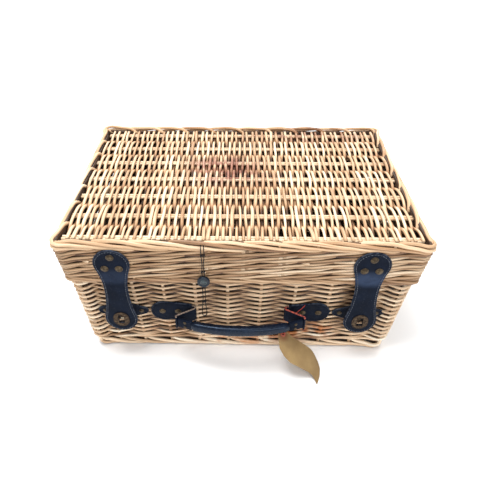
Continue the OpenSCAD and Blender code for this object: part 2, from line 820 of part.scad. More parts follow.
// ---- Swing tag: card curled across its width, red eyelet, red thread from the handle's right fold ----
tag_hole = [58, -172, 63];
tag_length = 94;
tag_left = 22;
tag_right = 38;
tag_t = 0.8;
tag_curl_r = 90;
tag_lean = 138;
tag_heading = -35;
tag_hole_in = 9;
tag_outline = [
    [-9, -2], [-5, -7], [3, -7.5], [8, -1], [11.5, 14], [23.4, 34.4], [33.3, 50.2], [34.2, 60], [30.5, 72],
    [22, 79.5], [11, 82], [-1.5, 83], [2.2, 77], [4, 71], [-7, 53.5], [-16.1, 37], [-18.4, 24], [-17.5, 11.8]
];
eyelet_r = 4.5;
eyelet_bore = 2;
module on_tag() {
    translate(tag_hole) rotate([0, tag_lean, tag_heading]) children();
}
module tag_card() {
    curl_left = 180 + tag_left / tag_curl_r * 180 / PI;
    curl_right = 180 - tag_right / tag_curl_r * 180 / PI;
    color(kraft) on_tag() difference() {
        intersection() {
            translate([tag_curl_r, 0, -tag_hole_in]) linear_extrude(tag_length) polygon(concat(
                arc([0, 0], tag_curl_r, curl_right, curl_left, 10),
                arc([0, 0], tag_curl_r - tag_t, curl_left, curl_right, 10)
            ));
            rotate([90, 0, 90]) translate([0, 0, -2 * tag_hole_in]) linear_extrude(4 * tag_hole_in)
                polygon(tag_outline);
        }
        rotate([0, 90, 0]) cylinder(h = 2 * over, r = eyelet_bore, center = true, $fn = fine);
    }
}
module tag_eyelet() {
    color([0.62, 0.16, 0.12]) on_tag() rotate([0, 90, 0]) translate([0, 0, -0.7]) difference() {
        cylinder(h = 0.6, r = eyelet_r, $fn = fine);
        translate([0, 0, -over]) cylinder(h = 2 * over, r = eyelet_bore, $fn = fine);
    }
}
thread_r = 0.45;
thread_route = [
    [87, -151.4, 96], [84.5, -151.4, 92], [82, -151.4, 88.5], [79, -151.4, 85], [76.5, -151.6, 81.5],
    [74, -151.8, 78], [72.2, -151.9, 74.2], [71, -152.3, 70.6], [70.2, -153.6, 67.8], [69, -156, 66.7],
    [67.5, -160, 66.5], [65.5, -164, 66.7], [63.6, -167.6, 67], [62.1, -170.6, 67.1], [60.8, -172.6, 66.3],
    [59.6, -173.1, 64.8], [58.6, -172.42, 63.67], [57.27, -171.49, 62.2]
];
module tag_thread() {
    color([0.68, 0.14, 0.10]) cord(thread_route, thread_r);
}

// ---- String seal: doubled black cord hung on the lid's front border, through a small disc ----
seal_x = -47;
seal_out = 166;
seal_cord_r = 0.6;
seal_disc_z = 150;
seal_disc_r = 8;
seal_disc_t = 4;
seal_strand = 1.6;
seal_route = [
    [-45.4, -164.2, 206.6], [-45.4, -165.4, 203.6], [-45.2, -166, 199], [-45, -166, 194], [-45.4, -166, 188],
    [-46, -166, 182], [-46.2, -166, 176], [-46, -166, 170], [-45.6, -166, 164], [-45.4, -166, 158],
    [-45.4, -166, 150], [-45.4, -166, 142], [-45.4, -166, 136], [-45.6, -166, 128], [-45.8, -166, 120],
    [-45.4, -166, 112], [-44.8, -166, 104], [-44.4, -166, 97], [-44.6, -166, 93], [-45.6, -166, 90.4],
    [-47.4, -166, 89.6], [-49.2, -166, 90.4], [-50.2, -166, 93], [-50.2, -166, 97], [-49.8, -166, 104],
    [-49.2, -166, 112], [-48.6, -166, 120], [-48.5, -166, 128], [-48.6, -166, 136], [-48.6, -166, 142],
    [-48.6, -166, 150], [-48.6, -166, 158], [-48.6, -166, 164], [-48.4, -166, 170], [-48, -166, 176],
    [-48.2, -166, 182], [-48.6, -166, 188], [-49, -166, 194], [-49, -166, 199], [-48.8, -165.4, 203.6],
    [-48.8, -164.2, 206.6]
];
module seal_cord() {
    color([0.05, 0.05, 0.06]) cord(seal_route, seal_cord_r);
}
module seal_disc() {
    color([0.12, 0.16, 0.16]) difference() {
        translate([seal_x, -seal_out, seal_disc_z]) rotate([90, 0, 0])
            cylinder(h = seal_disc_t, r = seal_disc_r, center = true, $fn = fine);
        for (strand = [-1, 1]) translate([seal_x + strand * seal_strand, -seal_out, seal_disc_z])
            cylinder(h = 4 * seal_disc_r, r = seal_cord_r + 0.15, center = true, $fn = fine);
    }
}

base_panel();
base_sticks();
foot_border();
front_wall();
back_wall();
left_wall();
right_wall();
corner_posts();
front_stakes();
back_stakes();
end_stakes();
body_rim();
handle_tab_left();
handle_tab_right();
handle_fold_left();
handle_fold_right();
handle_tab_rivets();
lock_patch_left();
lock_patch_right();
lock_patch_rivets();
lock_base_left();
lock_base_right();
hinge_strap_left();
hinge_strap_right();
hinge_rivets_body();
tag_thread();
lid_panel();
lid_sticks();
lid_front_wall();
lid_back_wall();
lid_left_wall();
lid_right_wall();
lid_posts();
lid_stakes();
lid_edge_border();
lid_rim();
strap_top_left();
strap_top_right();
strap_rivets();
hinge_rivets_lid();
strap_tail_left();
slot_plate_left();
slot_washer_left();
strap_tail_right();
slot_plate_right();
slot_washer_right();
turn_tongue_left();
turn_tongue_right();
handle_grip();
handle_end_left();
handle_end_right();
handle_end_rivets();
tag_card();
tag_eyelet();
seal_cord();
seal_disc();
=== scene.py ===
"""Wicker picnic basket: woven rods, leather, brass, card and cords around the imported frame."""
import math
import random

import bpy
import numpy as np
from mathutils import Matrix, Vector
from mathutils.geometry import delaunay_2d_cdt


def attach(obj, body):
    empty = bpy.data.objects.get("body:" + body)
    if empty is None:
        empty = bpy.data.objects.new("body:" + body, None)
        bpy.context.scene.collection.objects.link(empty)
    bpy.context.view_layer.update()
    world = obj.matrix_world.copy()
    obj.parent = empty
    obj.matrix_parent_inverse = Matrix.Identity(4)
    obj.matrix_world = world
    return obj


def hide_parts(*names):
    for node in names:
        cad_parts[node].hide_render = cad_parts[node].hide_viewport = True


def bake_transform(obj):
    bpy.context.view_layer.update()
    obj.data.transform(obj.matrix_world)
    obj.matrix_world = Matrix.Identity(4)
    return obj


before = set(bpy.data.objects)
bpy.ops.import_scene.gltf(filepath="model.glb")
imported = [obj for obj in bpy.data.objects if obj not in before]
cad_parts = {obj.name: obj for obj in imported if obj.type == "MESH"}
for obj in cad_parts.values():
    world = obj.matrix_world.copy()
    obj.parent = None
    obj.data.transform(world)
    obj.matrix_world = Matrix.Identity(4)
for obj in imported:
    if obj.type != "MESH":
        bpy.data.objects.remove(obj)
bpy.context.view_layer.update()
MM = 0.001
dice = random.Random(7)

# ---------------------------------------------------------------- sizes, millimetres
LID_W, LID_D, HEIGHT, LID_H, LID_TAPER = 460.0, 324.0, 208.0, 68.0, 2.5
BASE_W, BASE_D, FLARE, RIM_Z = 415.0, 279.0, 11.0, 152.0
LID_Z = HEIGHT - LID_H
FLEX_Z, STRAP_X, STRAP_T, LOCK_Z = 142.0, 161.0, 2.6, 79.0
LONG, SHORT = 10, 7
SIDES = ((-1, "left"), (1, "right"))
STAKES = 2 * (LONG + SHORT)
CORNERS = (0, LONG, LONG + SHORT, 2 * LONG + SHORT, STAKES)
SEAM = 27
PAIRS, PAIR_PITCH, TOP_MID_Z = 7, 48.33, 201.5
BASE_STICKS, BASE_PITCH, BASE_MID_Z = 5, 51.0, 4.6
TAB_T, PATCH_T, HINGE_X, SEAL_Y = 2.6, 2.2, 151.0, -166


def body_x(z):
    return BASE_W / 2 + FLARE * z / RIM_Z


def body_y(z):
    return BASE_D / 2 + FLARE * z / RIM_Z


def lid_x(z):
    return LID_W / 2 - LID_TAPER * (HEIGHT - z) / LID_H


def lid_y(z):
    return LID_D / 2 - LID_TAPER * (HEIGHT - z) / LID_H


BODY_TILT = math.atan(FLARE / RIM_Z)
LID_TILT = math.atan(LID_TAPER / LID_H)

# ---------------------------------------------------------------- camera, first of all
camera_data = bpy.data.cameras.new("camera")
camera = bpy.data.objects.new("camera", camera_data)
bpy.context.scene.collection.objects.link(camera)
camera_data.sensor_width = 36
camera_data.lens = 34.96
camera_data.shift_x = 0.05
camera_data.shift_y = 0.0093
camera_data.clip_start = 0.01
eye = Vector((-0.00822, -0.6215, 0.55706))
aim = Vector((-0.02370, -0.01273, 0.07158))
back = (eye - aim).normalized()
right = Vector((0, 0, 1)).cross(back).normalized()
up = back.cross(right)
roll = math.radians(-0.374)
right, up = right * math.cos(roll) + up * math.sin(roll), up * math.cos(roll) - right * math.sin(roll)
turn = Matrix((right, up, back)).transposed()
camera.matrix_world = Matrix.Translation(eye) @ turn.to_4x4()
bpy.context.scene.camera = camera
bpy.context.scene.view_settings.view_transform = "Standard"


# ---------------------------------------------------------------- materials
class Nodes:
    """A small helper round a material's node tree."""

    def __init__(self, name, base, rough, metallic=0.0, specular=0.5, coat=0.0):
        self.material = bpy.data.materials.new(name)
        self.material.use_nodes = True
        self.tree = self.material.node_tree
        self.shader = self.tree.nodes["Principled BSDF"]
        self.shader.inputs["Base Color"].default_value = (*base, 1)
        self.shader.inputs["Roughness"].default_value = rough
        self.shader.inputs["Metallic"].default_value = metallic
        self.shader.inputs["Specular IOR Level"].default_value = specular
        self.shader.inputs["Coat Weight"].default_value = coat
        self.shader.inputs["Coat Roughness"].default_value = 0.25

    def new(self, kind, **values):
        node = self.tree.nodes.new(kind)
        for key, value in values.items():
            if hasattr(node, key):
                setattr(node, key, value)
            else:
                node.inputs[key.replace("_", " ").title()].default_value = value
        return node

    def link(self, a, b):
        self.tree.links.new(a, b)

    def attribute(self, name, output="Fac"):
        return self.new("ShaderNodeAttribute", attribute_name=name).outputs[output]

    def place(self):
        return self.new("ShaderNodeTexCoord").outputs["Object"]

    def scaled(self, vector, scale):
        node = self.new("ShaderNodeMapping")
        node.inputs["Scale"].default_value = scale
        self.link(vector, node.inputs["Vector"])
        return node.outputs["Vector"]

    def noise(self, vector, scale, detail=3.0, rough=0.5):
        node = self.new("ShaderNodeTexNoise")
        node.inputs["Scale"].default_value = scale
        node.inputs["Detail"].default_value = detail
        node.inputs["Roughness"].default_value = rough
        self.link(vector, node.inputs["Vector"])
        return node.outputs["Fac"]

    def spots(self, vector, scale):
        node = self.new("ShaderNodeTexVoronoi")
        node.inputs["Scale"].default_value = scale
        self.link(vector, node.inputs["Vector"])
        return node.outputs["Distance"]

    def math(self, operation, a, b, clamp=False):
        node = self.new("ShaderNodeMath", operation=operation, use_clamp=clamp)
        for socket, value in zip(node.inputs, (a, b)):
            if isinstance(value, (int, float)):
                socket.default_value = value
            else:
                self.link(value, socket)
        return node.outputs[0]

    def fit(self, value, low, high, to_low=0.0, to_high=1.0):
        node = self.new("ShaderNodeMapRange")
        node.interpolation_type = "SMOOTHSTEP"
        limits = (("From Min", low), ("From Max", high), ("To Min", to_low), ("To Max", to_high))
        for key, number in limits:
            node.inputs[key].default_value = number
        self.link(value, node.inputs["Value"])
        return node.outputs["Result"]

    def ramp(self, value, stops):
        node = self.new("ShaderNodeValToRGB")
        elements = node.color_ramp.elements
        while len(elements) < len(stops):
            elements.new(0.5)
        for element, (at, colour) in zip(elements, stops):
            element.position = at
            element.color = (*colour, 1)
        self.link(value, node.inputs["Fac"])
        return node.outputs["Color"]

    def mix(self, factor, a, b, blend="MIX"):
        node = self.new("ShaderNodeMix", data_type="RGBA", blend_type=blend)
        sockets = [s for s in node.inputs if s.enabled]
        for socket, value in zip(sockets, (factor, a, b)):
            if isinstance(value, (int, float)):
                socket.default_value = value
            elif isinstance(value, tuple):
                socket.default_value = (*value, 1)
            else:
                self.link(value, socket)
        return [s for s in node.outputs if s.enabled][0]

    def near(self, vector, centre, size):
        """1 at a place and 0 outside an ellipsoid round it."""
        node = self.new("ShaderNodeMapping")
        node.inputs["Location"].default_value = tuple(-c / s for c, s in zip(centre, size))
        node.inputs["Scale"].default_value = tuple(1 / s for s in size)
        self.link(vector, node.inputs["Vector"])
        length = self.new("ShaderNodeVectorMath", operation="LENGTH")
        self.link(node.outputs["Vector"], length.inputs[0])
        return self.fit(length.outputs["Value"], 0.35, 1.1, 1.0, 0.0)

    def bump(self, height, strength, distance):
        node = self.new("ShaderNodeBump")
        node.inputs["Strength"].default_value = strength
        node.inputs["Distance"].default_value = distance
        self.link(height, node.inputs["Height"])
        self.link(node.outputs["Normal"], self.shader.inputs["Normal"])

    def colour(self, socket):
        self.link(socket, self.shader.inputs["Base Color"])
        return self.material

    def rough(self, socket):
        self.link(socket, self.shader.inputs["Roughness"])


def willow(name, stops, stains=(), rough=0.46):
    """Peeled willow: a tone for each rod, with painted shade in it, long streaks, scuffs, small knots and
    stains at places.
    """
    n = Nodes(name, (0.7, 0.5, 0.3), rough, specular=0.45)
    grain = n.attribute("grain", "Vector")
    place = n.place()
    streak = n.noise(n.scaled(grain, (18, 700, 3)), 1.0, 4.0, 0.6)
    patch = n.noise(n.scaled(grain, (14, 30, 5)), 1.0, 2.0)
    tone = n.math("ADD", n.attribute("tone"), n.math("MULTIPLY", n.math("SUBTRACT", patch, 0.5), 0.75))
    tone = n.math("ADD", tone, n.math("MULTIPLY", n.math("SUBTRACT", streak, 0.5), 0.5), clamp=True)
    colour = n.ramp(tone, stops)
    line = n.fit(streak, 0.30, 0.44, 0.62, 0.0)
    colour = n.mix(line, colour, (0.62, 0.43, 0.30), "MULTIPLY")
    knots = n.fit(n.spots(n.scaled(grain, (26, 90, 9)), 1.0), 0.05, 0.16, 0.75, 0.0)
    colour = n.mix(knots, colour, (0.16, 0.09, 0.05))
    for centre, size, amount, tint in stains:
        mask = n.math("MULTIPLY", n.near(place, centre, size), n.fit(n.noise(place, 55.0, 2.0), 0.36, 0.60))
        colour = n.mix(n.math("MULTIPLY", mask, amount), colour, tint, "MULTIPLY")
    fine = n.noise(n.scaled(grain, (60, 2600, 3)), 1.0, 3.0)
    n.bump(n.math("ADD", n.math("MULTIPLY", streak, 0.7), n.math("MULTIPLY", fine, 0.4)), 0.55, 0.0005)
    n.rough(n.fit(patch, 0.25, 0.75, rough - 0.08, rough + 0.12))
    return n.colour(colour)


LID_STOPS = ((0.0, (0.035, 0.015, 0.006)), (0.2, (0.18, 0.085, 0.038)), (0.45, (0.46, 0.265, 0.135)),
             (0.7, (0.68, 0.47, 0.285)), (1.0, (0.88, 0.73, 0.53)))
# A darker copy of the willow palette: painted shade on the lid's walls and rim and on the base.
SHADED_SIDE_STOPS = ((0.0, (0.018, 0.008, 0.004)), (0.2, (0.12, 0.056, 0.025)), (0.45, (0.33, 0.185, 0.092)),
              (0.7, (0.54, 0.36, 0.21)), (1.0, (0.80, 0.64, 0.46)))
LID_STAINS = (
    ((-0.026, 0.024, 0.204), (0.072, 0.060, 0.06), 1.0, (0.50, 0.30, 0.30)),
    ((0.015, -0.004, 0.204), (0.055, 0.034, 0.06), 0.6, (0.60, 0.40, 0.32)),
    ((0.120, 0.138, 0.204), (0.13, 0.030, 0.06), 0.9, (0.48, 0.32, 0.29)),
    ((0.205, 0.060, 0.204), (0.028, 0.10, 0.06), 0.6, (0.62, 0.42, 0.30)),
)
BODY_STAINS = (
    ((0.085, -0.146, 0.036), (0.075, 0.05, 0.028), 1.0, (0.62, 0.30, 0.14)),
    ((0.01, -0.146, 0.018), (0.10, 0.05, 0.020), 0.8, (0.66, 0.36, 0.20)),
    ((-0.09, -0.146, 0.040), (0.08, 0.05, 0.020), 0.5, (0.74, 0.48, 0.30)),
)
willow_lid = willow("willow_lid", LID_STOPS, LID_STAINS)
willow_edge = willow("willow_edge", LID_STOPS, LID_STAINS[2:])
willow_side_shaded = willow("willow_side_shaded", SHADED_SIDE_STOPS)
# A brighter copy of the same palette: painted light on the body's rows, stakes, foot and rim.
LIT_BODY_STOPS = SHADED_SIDE_STOPS[:2] + ((0.45, (0.50, 0.31, 0.17)), (0.7, (0.84, 0.61, 0.40)),
                              (1.0, (0.96, 0.86, 0.69)))
willow_body_lit = willow("willow_body_lit", LIT_BODY_STOPS, BODY_STAINS)


def leather(name, base, light, rough, shine, bend_highlights=()):
    """Pebbled leather, paler where it wears along its edges, with a few scuffs, and a painted highlight band
    at each given place.
    """
    n = Nodes(name, base, rough, specular=shine)
    n.shader.inputs["Specular Tint"].default_value = (0.55, 0.72, 1.0, 1)
    place = n.place()
    cells = n.spots(place, 1150.0)
    cloud = n.noise(place, 60.0, 3.0)
    colour = n.mix(n.fit(cloud, 0.3, 0.75, 0.0, 0.55), base, light)
    wear = n.math("MULTIPLY", n.attribute("rim"), n.fit(n.noise(place, 260.0, 4.0), 0.34, 0.62))
    colour = n.mix(n.math("MULTIPLY", wear, 0.6), colour, (0.10, 0.115, 0.15))
    # Painted highlight: a paler, bluer band round each given place, broken up by noise.
    for centre, amount in bend_highlights:
        broken = n.fit(n.noise(place, 150.0, 3.0), 0.3, 0.55, 0.75, 1.0)
        band = n.math("MULTIPLY", n.near(place, centre, (0.034, 0.03, 0.015)), broken)
        colour = n.mix(n.math("MULTIPLY", band, amount), colour, (0.030, 0.045, 0.085))
    dust = n.fit(n.noise(place, 900.0, 2.0), 0.67, 0.74, 0.0, 0.45)
    colour = n.mix(dust, colour, (0.10, 0.11, 0.13))
    crease = n.noise(place, 240.0, 4.0, 0.6)
    n.bump(n.math("ADD", n.math("MULTIPLY", cells, 0.5), crease), 0.3, 0.0003)
    n.rough(n.fit(crease, 0.3, 0.7, rough - 0.07, rough + 0.14))
    return n.colour(colour)


# The two places are painted highlight bands just below each strap's rivets, full on the right strap and faint
# on the left.
strap_leather = leather("strap_leather", (0.0042, 0.0060, 0.0120), (0.008, 0.013, 0.028), 0.5, 0.07,
                        (((0.161, -0.164, 0.153), 1.0), ((-0.161, -0.164, 0.153), 0.4)))
grip_leather = leather("grip_leather", (0.003, 0.0045, 0.010), (0.006, 0.011, 0.026), 0.27, 0.3)


def raw_edge(name, base, dark):
    n = Nodes(name, base, 0.75)
    return n.colour(n.mix(n.fit(n.noise(n.place(), 420.0, 4.0), 0.35, 0.65), base, dark))


edge_brown = raw_edge("leather_edge_brown", (0.28, 0.21, 0.16), (0.10, 0.07, 0.06))
edge_red = raw_edge("leather_edge_red", (0.48, 0.085, 0.05), (0.14, 0.03, 0.03))


def brass(name, bright, dark, rough):
    """Antique brass: dark in the hollows, rubbed bright in patches, finely scratched."""
    n = Nodes(name, bright, rough, metallic=0.85, specular=0.5)
    place = n.place()
    cloud = n.noise(place, 330.0, 4.0, 0.6)
    scratch = n.noise(n.scaled(place, (300, 2500, 900)), 1.0, 2.0)
    colour = n.mix(n.fit(cloud, 0.36, 0.62), dark, bright)
    colour = n.mix(n.fit(n.attribute("rim"), 0.1, 1.0, 0.0, 0.75), colour, dark)
    n.bump(n.math("ADD", cloud, n.math("MULTIPLY", scratch, 0.5)), 0.14, 0.0002)
    n.rough(n.fit(cloud, 0.3, 0.7, rough + 0.16, rough - 0.06))
    return n.colour(colour)


rivet_brass = brass("rivet_brass", (0.105, 0.078, 0.046), (0.048, 0.034, 0.021), 0.44)
lock_brass = brass("lock_brass", (0.095, 0.062, 0.036), (0.026, 0.017, 0.012), 0.44)
# A near-white copy of the brass: a painted highlight, used only on the left turn tongue's tip.
tongue_brass = brass("tongue_brass", (0.92, 0.84, 0.66), (0.70, 0.58, 0.40), 0.34)


def plain(name, base, other, rough, scale, specular=0.5, coat=0.0):
    n = Nodes(name, base, rough, specular=specular, coat=coat)
    cloud = n.noise(n.place(), scale, 4.0)
    n.bump(cloud, 0.3, 0.0002)
    n.rough(n.fit(cloud, 0.3, 0.7, rough - 0.06, rough + 0.08))
    return n.colour(n.mix(n.fit(cloud, 0.35, 0.65), base, other))


stitch_thread = plain("stitch_thread", (0.10, 0.115, 0.14), (0.028, 0.034, 0.05), 0.7, 300.0)
cord_black = plain("cord_black", (0.004, 0.004, 0.005), (0.012, 0.012, 0.014), 0.6, 900.0, specular=0.2)
thread_red = plain("thread_red", (0.40, 0.03, 0.02), (0.62, 0.07, 0.04), 0.7, 1500.0)
paper_red = plain("paper_red", (0.42, 0.10, 0.06), (0.30, 0.06, 0.04), 0.7, 500.0)
disc_dark = plain("disc_dark", (0.006, 0.011, 0.020), (0.01, 0.02, 0.032), 0.35, 300.0, specular=0.3)
disc_centre = plain("disc_centre", (0.035, 0.058, 0.064), (0.010, 0.018, 0.024), 0.4, 420.0)


def kraft_card():
    n = Nodes("kraft_card", (0.5, 0.36, 0.18), 0.55, specular=0.35)
    place = n.place()
    fibre = n.noise(n.scaled(place, (500, 900, 2200)), 1.0, 5.0, 0.65)
    cloud = n.noise(place, 38.0, 2.0)
    colour = n.mix(n.fit(cloud, 0.3, 0.7), (0.25, 0.158, 0.066), (0.36, 0.24, 0.10))
    colour = n.mix(n.fit(fibre, 0.35, 0.7, 0.0, 0.5), colour, (0.22, 0.14, 0.06))
    # Painted shade round the eyelet: a darker, redder patch on the card there.
    red = n.near(place, (0.058, -0.172, 0.063), (0.013, 0.013, 0.013))
    colour = n.mix(n.math("MULTIPLY", red, 0.85), colour, (0.74, 0.42, 0.40), "MULTIPLY")
    n.bump(fibre, 0.25, 0.0002)
    return n.colour(colour)


card_brown = kraft_card()


# ---------------------------------------------------------------- meshes
def link_mesh(name, mesh, materials):
    obj = bpy.data.objects.new(name, mesh)
    bpy.context.scene.collection.objects.link(obj)
    for material in materials:
        mesh.materials.append(material)
    return obj


def finish_piece(obj, body, nodes):
    """Puts a piece on its body and in the place of its CAD nodes. One given no body is only put in their
    place.
    """
    if body:
        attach(obj, body)
    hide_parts(*nodes)


def array_mesh(name, points, quads, triangles, materials, floats=None, vectors=None, slots=None):
    """A smooth mesh from arrays of points in millimetres, quads and triangles."""
    mesh = bpy.data.meshes.new(name)
    quads = np.asarray(quads, np.int32).reshape(-1, 4)
    triangles = np.asarray(triangles, np.int32).reshape(-1, 3)
    loops = np.concatenate([quads.ravel(), triangles.ravel()])
    starts = np.concatenate([np.arange(len(quads)) * 4, len(quads) * 4 + np.arange(len(triangles)) * 3])
    mesh.vertices.add(len(points))
    mesh.vertices.foreach_set("co", (np.asarray(points, np.float32) * MM).ravel())
    mesh.loops.add(len(loops))
    mesh.loops.foreach_set("vertex_index", loops)
    mesh.polygons.add(len(starts))
    mesh.polygons.foreach_set("loop_start", starts.astype(np.int32))
    mesh.update(calc_edges=True)
    mesh.validate()
    mesh.polygons.foreach_set("use_smooth", [True] * len(mesh.polygons))
    if slots is not None and len(slots) == len(mesh.polygons):
        mesh.polygons.foreach_set("material_index", np.asarray(slots, np.int32))
    for key, values in (floats or {}).items():
        mesh.attributes.new(key, "FLOAT", "POINT").data.foreach_set("value", np.asarray(values, np.float32))
    for key, values in (vectors or {}).items():
        data = mesh.attributes.new(key, "FLOAT_VECTOR", "POINT").data
        data.foreach_set("vector", np.asarray(values, np.float32).ravel())
    return link_mesh(name, mesh, materials)


def unit(v):
    return v / np.maximum(np.linalg.norm(v, axis=-1, keepdims=True), 1e-9)


def lengths(path):
    """The way along a path to each of its points."""
    return np.concatenate([[0], np.cumsum(np.linalg.norm(np.diff(path, axis=0), axis=1))])


class Rods:
    """Gathers tubes, one to a rod, into one mesh with each rod's tone and grain; the tone also holds painted
    shade, on each rod's underside and wherever a caller lowers it.
    """

    def __init__(self, shade=0.0):
        self.shade = shade
        self.points, self.quads, self.triangles, self.tone, self.grain = [], [], [], [], []
        self.count = self.rods = 0

    def add(self, path, radius, up=(0, 0, 1), sides=7, tone=0.5, cut=0.25):
        path = np.asarray(path, float)
        n = len(path)
        radius = np.broadcast_to(np.asarray(radius, float), (n,))
        along = unit(np.gradient(path, axis=0))
        u = np.broadcast_to(np.asarray(up, float), (n, 3))
        u = unit(u - (u * along).sum(1, keepdims=True) * along)
        w = np.cross(along, u)
        angle = np.arange(sides) * 2 * np.pi / sides
        ring = u[:, None] * np.cos(angle)[None, :, None] + w[:, None] * np.sin(angle)[None, :, None]
        points = (path[:, None] + ring * radius[:, None, None]).reshape(-1, 3)
        caps = path[[0, -1]] + along[[0, -1]] * np.array([[-0.3], [0.3]]) * radius[[0, -1], None]
        run = lengths(path) * MM + dice.random() * 9
        around = np.sin(angle) * radius[:, None] * MM
        grain = np.broadcast_arrays(run[:, None], around, np.cos(angle)[None] * 0.6 + self.rods * 1.7)
        grain = np.stack(grain, -1).reshape(-1, 3)
        i = np.arange(n - 1)[:, None] * sides
        k = np.arange(sides)[None]
        m = (k + 1) % sides
        ring_quads = np.stack([i + k, i + sides + k, i + sides + m, i + m], -1).reshape(-1, 4)
        self.quads.append(self.count + ring_quads)
        first, last = self.count + k[0], self.count + (n - 1) * sides + k[0]
        middle = self.count + n * sides
        self.triangles.append(np.stack([first, np.roll(first, -1), np.full(sides, middle)], -1))
        self.triangles.append(np.stack([np.roll(last, -1), last, np.full(sides, middle + 1)], -1))
        self.points += [points, caps]
        self.grain += [grain, grain[[0, -1]]]
        tone = np.clip(np.broadcast_to(tone, (n,)), 0, 1)
        # Painted shade: the faces of each rod that turn downward are darkened in its tone by the shade
        # amount.
        under = self.shade * np.clip(-ring[..., 2], 0, 1)
        self.tone += [np.clip(tone[:, None] - under, 0, 1).ravel(), np.minimum(1.0, tone[[0, -1]] + cut)]
        self.count += n * sides + 2
        self.rods += 1

    def build(self, name, material):
        joined = [np.concatenate(part) for part in (self.points, self.quads, self.triangles)]
        return array_mesh(name, *joined, [material], {"tone": np.concatenate(self.tone)},
                          {"grain": np.concatenate(self.grain)})


def drift(x, amount, wave):
    """A smooth random wander along x."""
    a, b = dice.random() * 6.3, dice.random() * 6.3
    return amount * (0.6 * np.sin(x / wave * 6.28 + a) + 0.4 * np.sin(x / wave * 14.5 + b))


def even(n):
    return [2 * i / n - 1 for i in range(1, n)]


class Loop:
    """The middle line of a woven wall, called with (q, out, z).

    q counts stakes anticlockwise from the front left corner; out and z are millimetres.
    """

    def __init__(self, half_x, half_y, inset, radius, front, low, high, bulge):
        self.low, self.high, self.bulge = low, high, bulge
        self.tables = [self.table(half_x(z), half_y(z), inset, radius, front) for z in (low, high)]

    @staticmethod
    def table(wide, deep, inset, r, front):
        a, b = wide - inset - r, deep - inset - r
        spans = [(225, 270, -a, -b), (270, 360, a, -b), (0, 90, a, b), (90, 180, -a, b),
                 (180, 225, -a, -b)]
        rows = []
        for start, stop, x, y in spans:
            turn = np.radians(np.linspace(start, stop, 17))
            nx, ny = np.cos(turn), np.sin(turn)
            rows.append(np.stack([x + r * nx, y + r * ny, nx, ny], -1))
        rows = np.concatenate(rows)
        run = lengths(rows[:, :2])
        quarter = (run[-1] - 4 * (a + b)) / 4
        knots = [0.0]
        end = (b, even(SHORT), deep)
        walls = ((a, front, wide), end, (a, even(LONG), wide), end)
        for half, places, full in walls:
            start = knots[-1]
            knots += [start + quarter / 2 + half + u * full for u in places]
            knots.append(start + quarter + 2 * half)
        q = np.linspace(0, STAKES, STAKES * 60 + 1)
        s = np.interp(q, np.arange(STAKES + 1), knots)
        return np.stack([q] + [np.interp(s, run, rows[:, c]) for c in range(4)])

    def __call__(self, q, out, z):
        q = np.asarray(q, float) % STAKES
        out = np.broadcast_to(np.asarray(out, float), q.shape)
        z = np.broadcast_to(np.asarray(z, float), q.shape)
        t = (z - self.low) / (self.high - self.low)
        corner = np.min([np.abs(q - c) for c in CORNERS], axis=0)
        out = out + (self.bulge[0] + (self.bulge[1] - self.bulge[0]) * t) * np.exp(-((corner / 0.3) ** 2))
        values = []
        for c in (1, 2, 3, 4):
            a, b = (np.interp(q, table[0], table[c]) for table in self.tables)
            values.append(a + (b - a) * t)
        length = np.hypot(values[2], values[3])
        nx, ny = values[2] / length, values[3] / length
        return np.stack([values[0] + nx * out, values[1] + ny * out, z], -1)


FRONT_STAKES = [-1 + 2 * (i / LONG) ** 1.12 for i in range(1, LONG)]
body_loop = Loop(body_x, body_y, 6, 8, FRONT_STAKES, 0, RIM_Z, (4.5, 6.0))
lid_loop = Loop(lid_x, lid_y, 4, 5.5, even(LONG), LID_Z, HEIGHT, (-1.0, 4.8))


def eased(q, values, sharp=1.12, soft=0.3):
    """Values at whole stakes, joined by smooth swings."""
    i = np.floor(q).astype(int)
    f = q - i
    f = np.clip(sharp * (f - 0.5) + 0.5, 0, 1) * (1 - soft) + (1 - np.cos(f * np.pi)) / 2 * soft
    pick = np.array([values(j) for j in range(i.min(), i.max() + 2)])
    return pick[i - i.min()] * (1 - f) + pick[i - i.min() + 1] * f


def dark_shade_rod(loop, z, radius, rods, out=0.0):
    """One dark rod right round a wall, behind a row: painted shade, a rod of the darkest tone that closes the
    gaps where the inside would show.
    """
    q = np.arange(SEAM, SEAM + STAKES + 0.1, 0.25)
    rods.add(loop(q, out, z), radius, sides=5, tone=0.0, cut=0)


def rod_tone(low=0.25, high=0.8):
    return min(1.0, max(0.0, dice.triangular(low, high, (low + high) / 2)))


def keyed(q, start, keys, column):
    return np.interp(q - start, [k[0] for k in keys], [k[column] for k in keys])


def smooth_keys(start, keys, step=0.08):
    """A path through (stakes along, out, height) keys, rounded where it turns."""
    q = np.arange(keys[0][0], keys[-1][0] + step / 2, step) + start
    out, z = keyed(q, start, keys, 1), keyed(q, start, keys, 2)
    for _ in range(2):
        out[1:-1] = (out[:-2] + 2 * out[1:-1] + out[2:]) / 4
        z[1:-1] = (z[:-2] + 2 * z[1:-1] + z[2:]) / 4
    return q, out, z


def strands(loop, keys, radius, rods, tones=(0.35, 0.95), wander=0.5, lift=0.0):
    """A rolled border: one strand from each stake, following the keys along, out and up."""
    for i in range(STAKES):
        q, out, z = smooth_keys(i + dice.uniform(-0.06, 0.06), keys)
        size = radius * dice.uniform(0.88, 1.1) * np.linspace(1.08, 0.9, len(q))
        rise = np.clip((q % STAKES - LONG) / SHORT, 0, 1) * np.clip((STAKES - q % STAKES) / SHORT, 0, 1)
        z = z + drift(q, wander, 1.7) + lift * rise
        rods.add(loop(q, out + drift(q, wander * 0.7, 2.1), z), size, sides=8, tone=rod_tone(*tones))


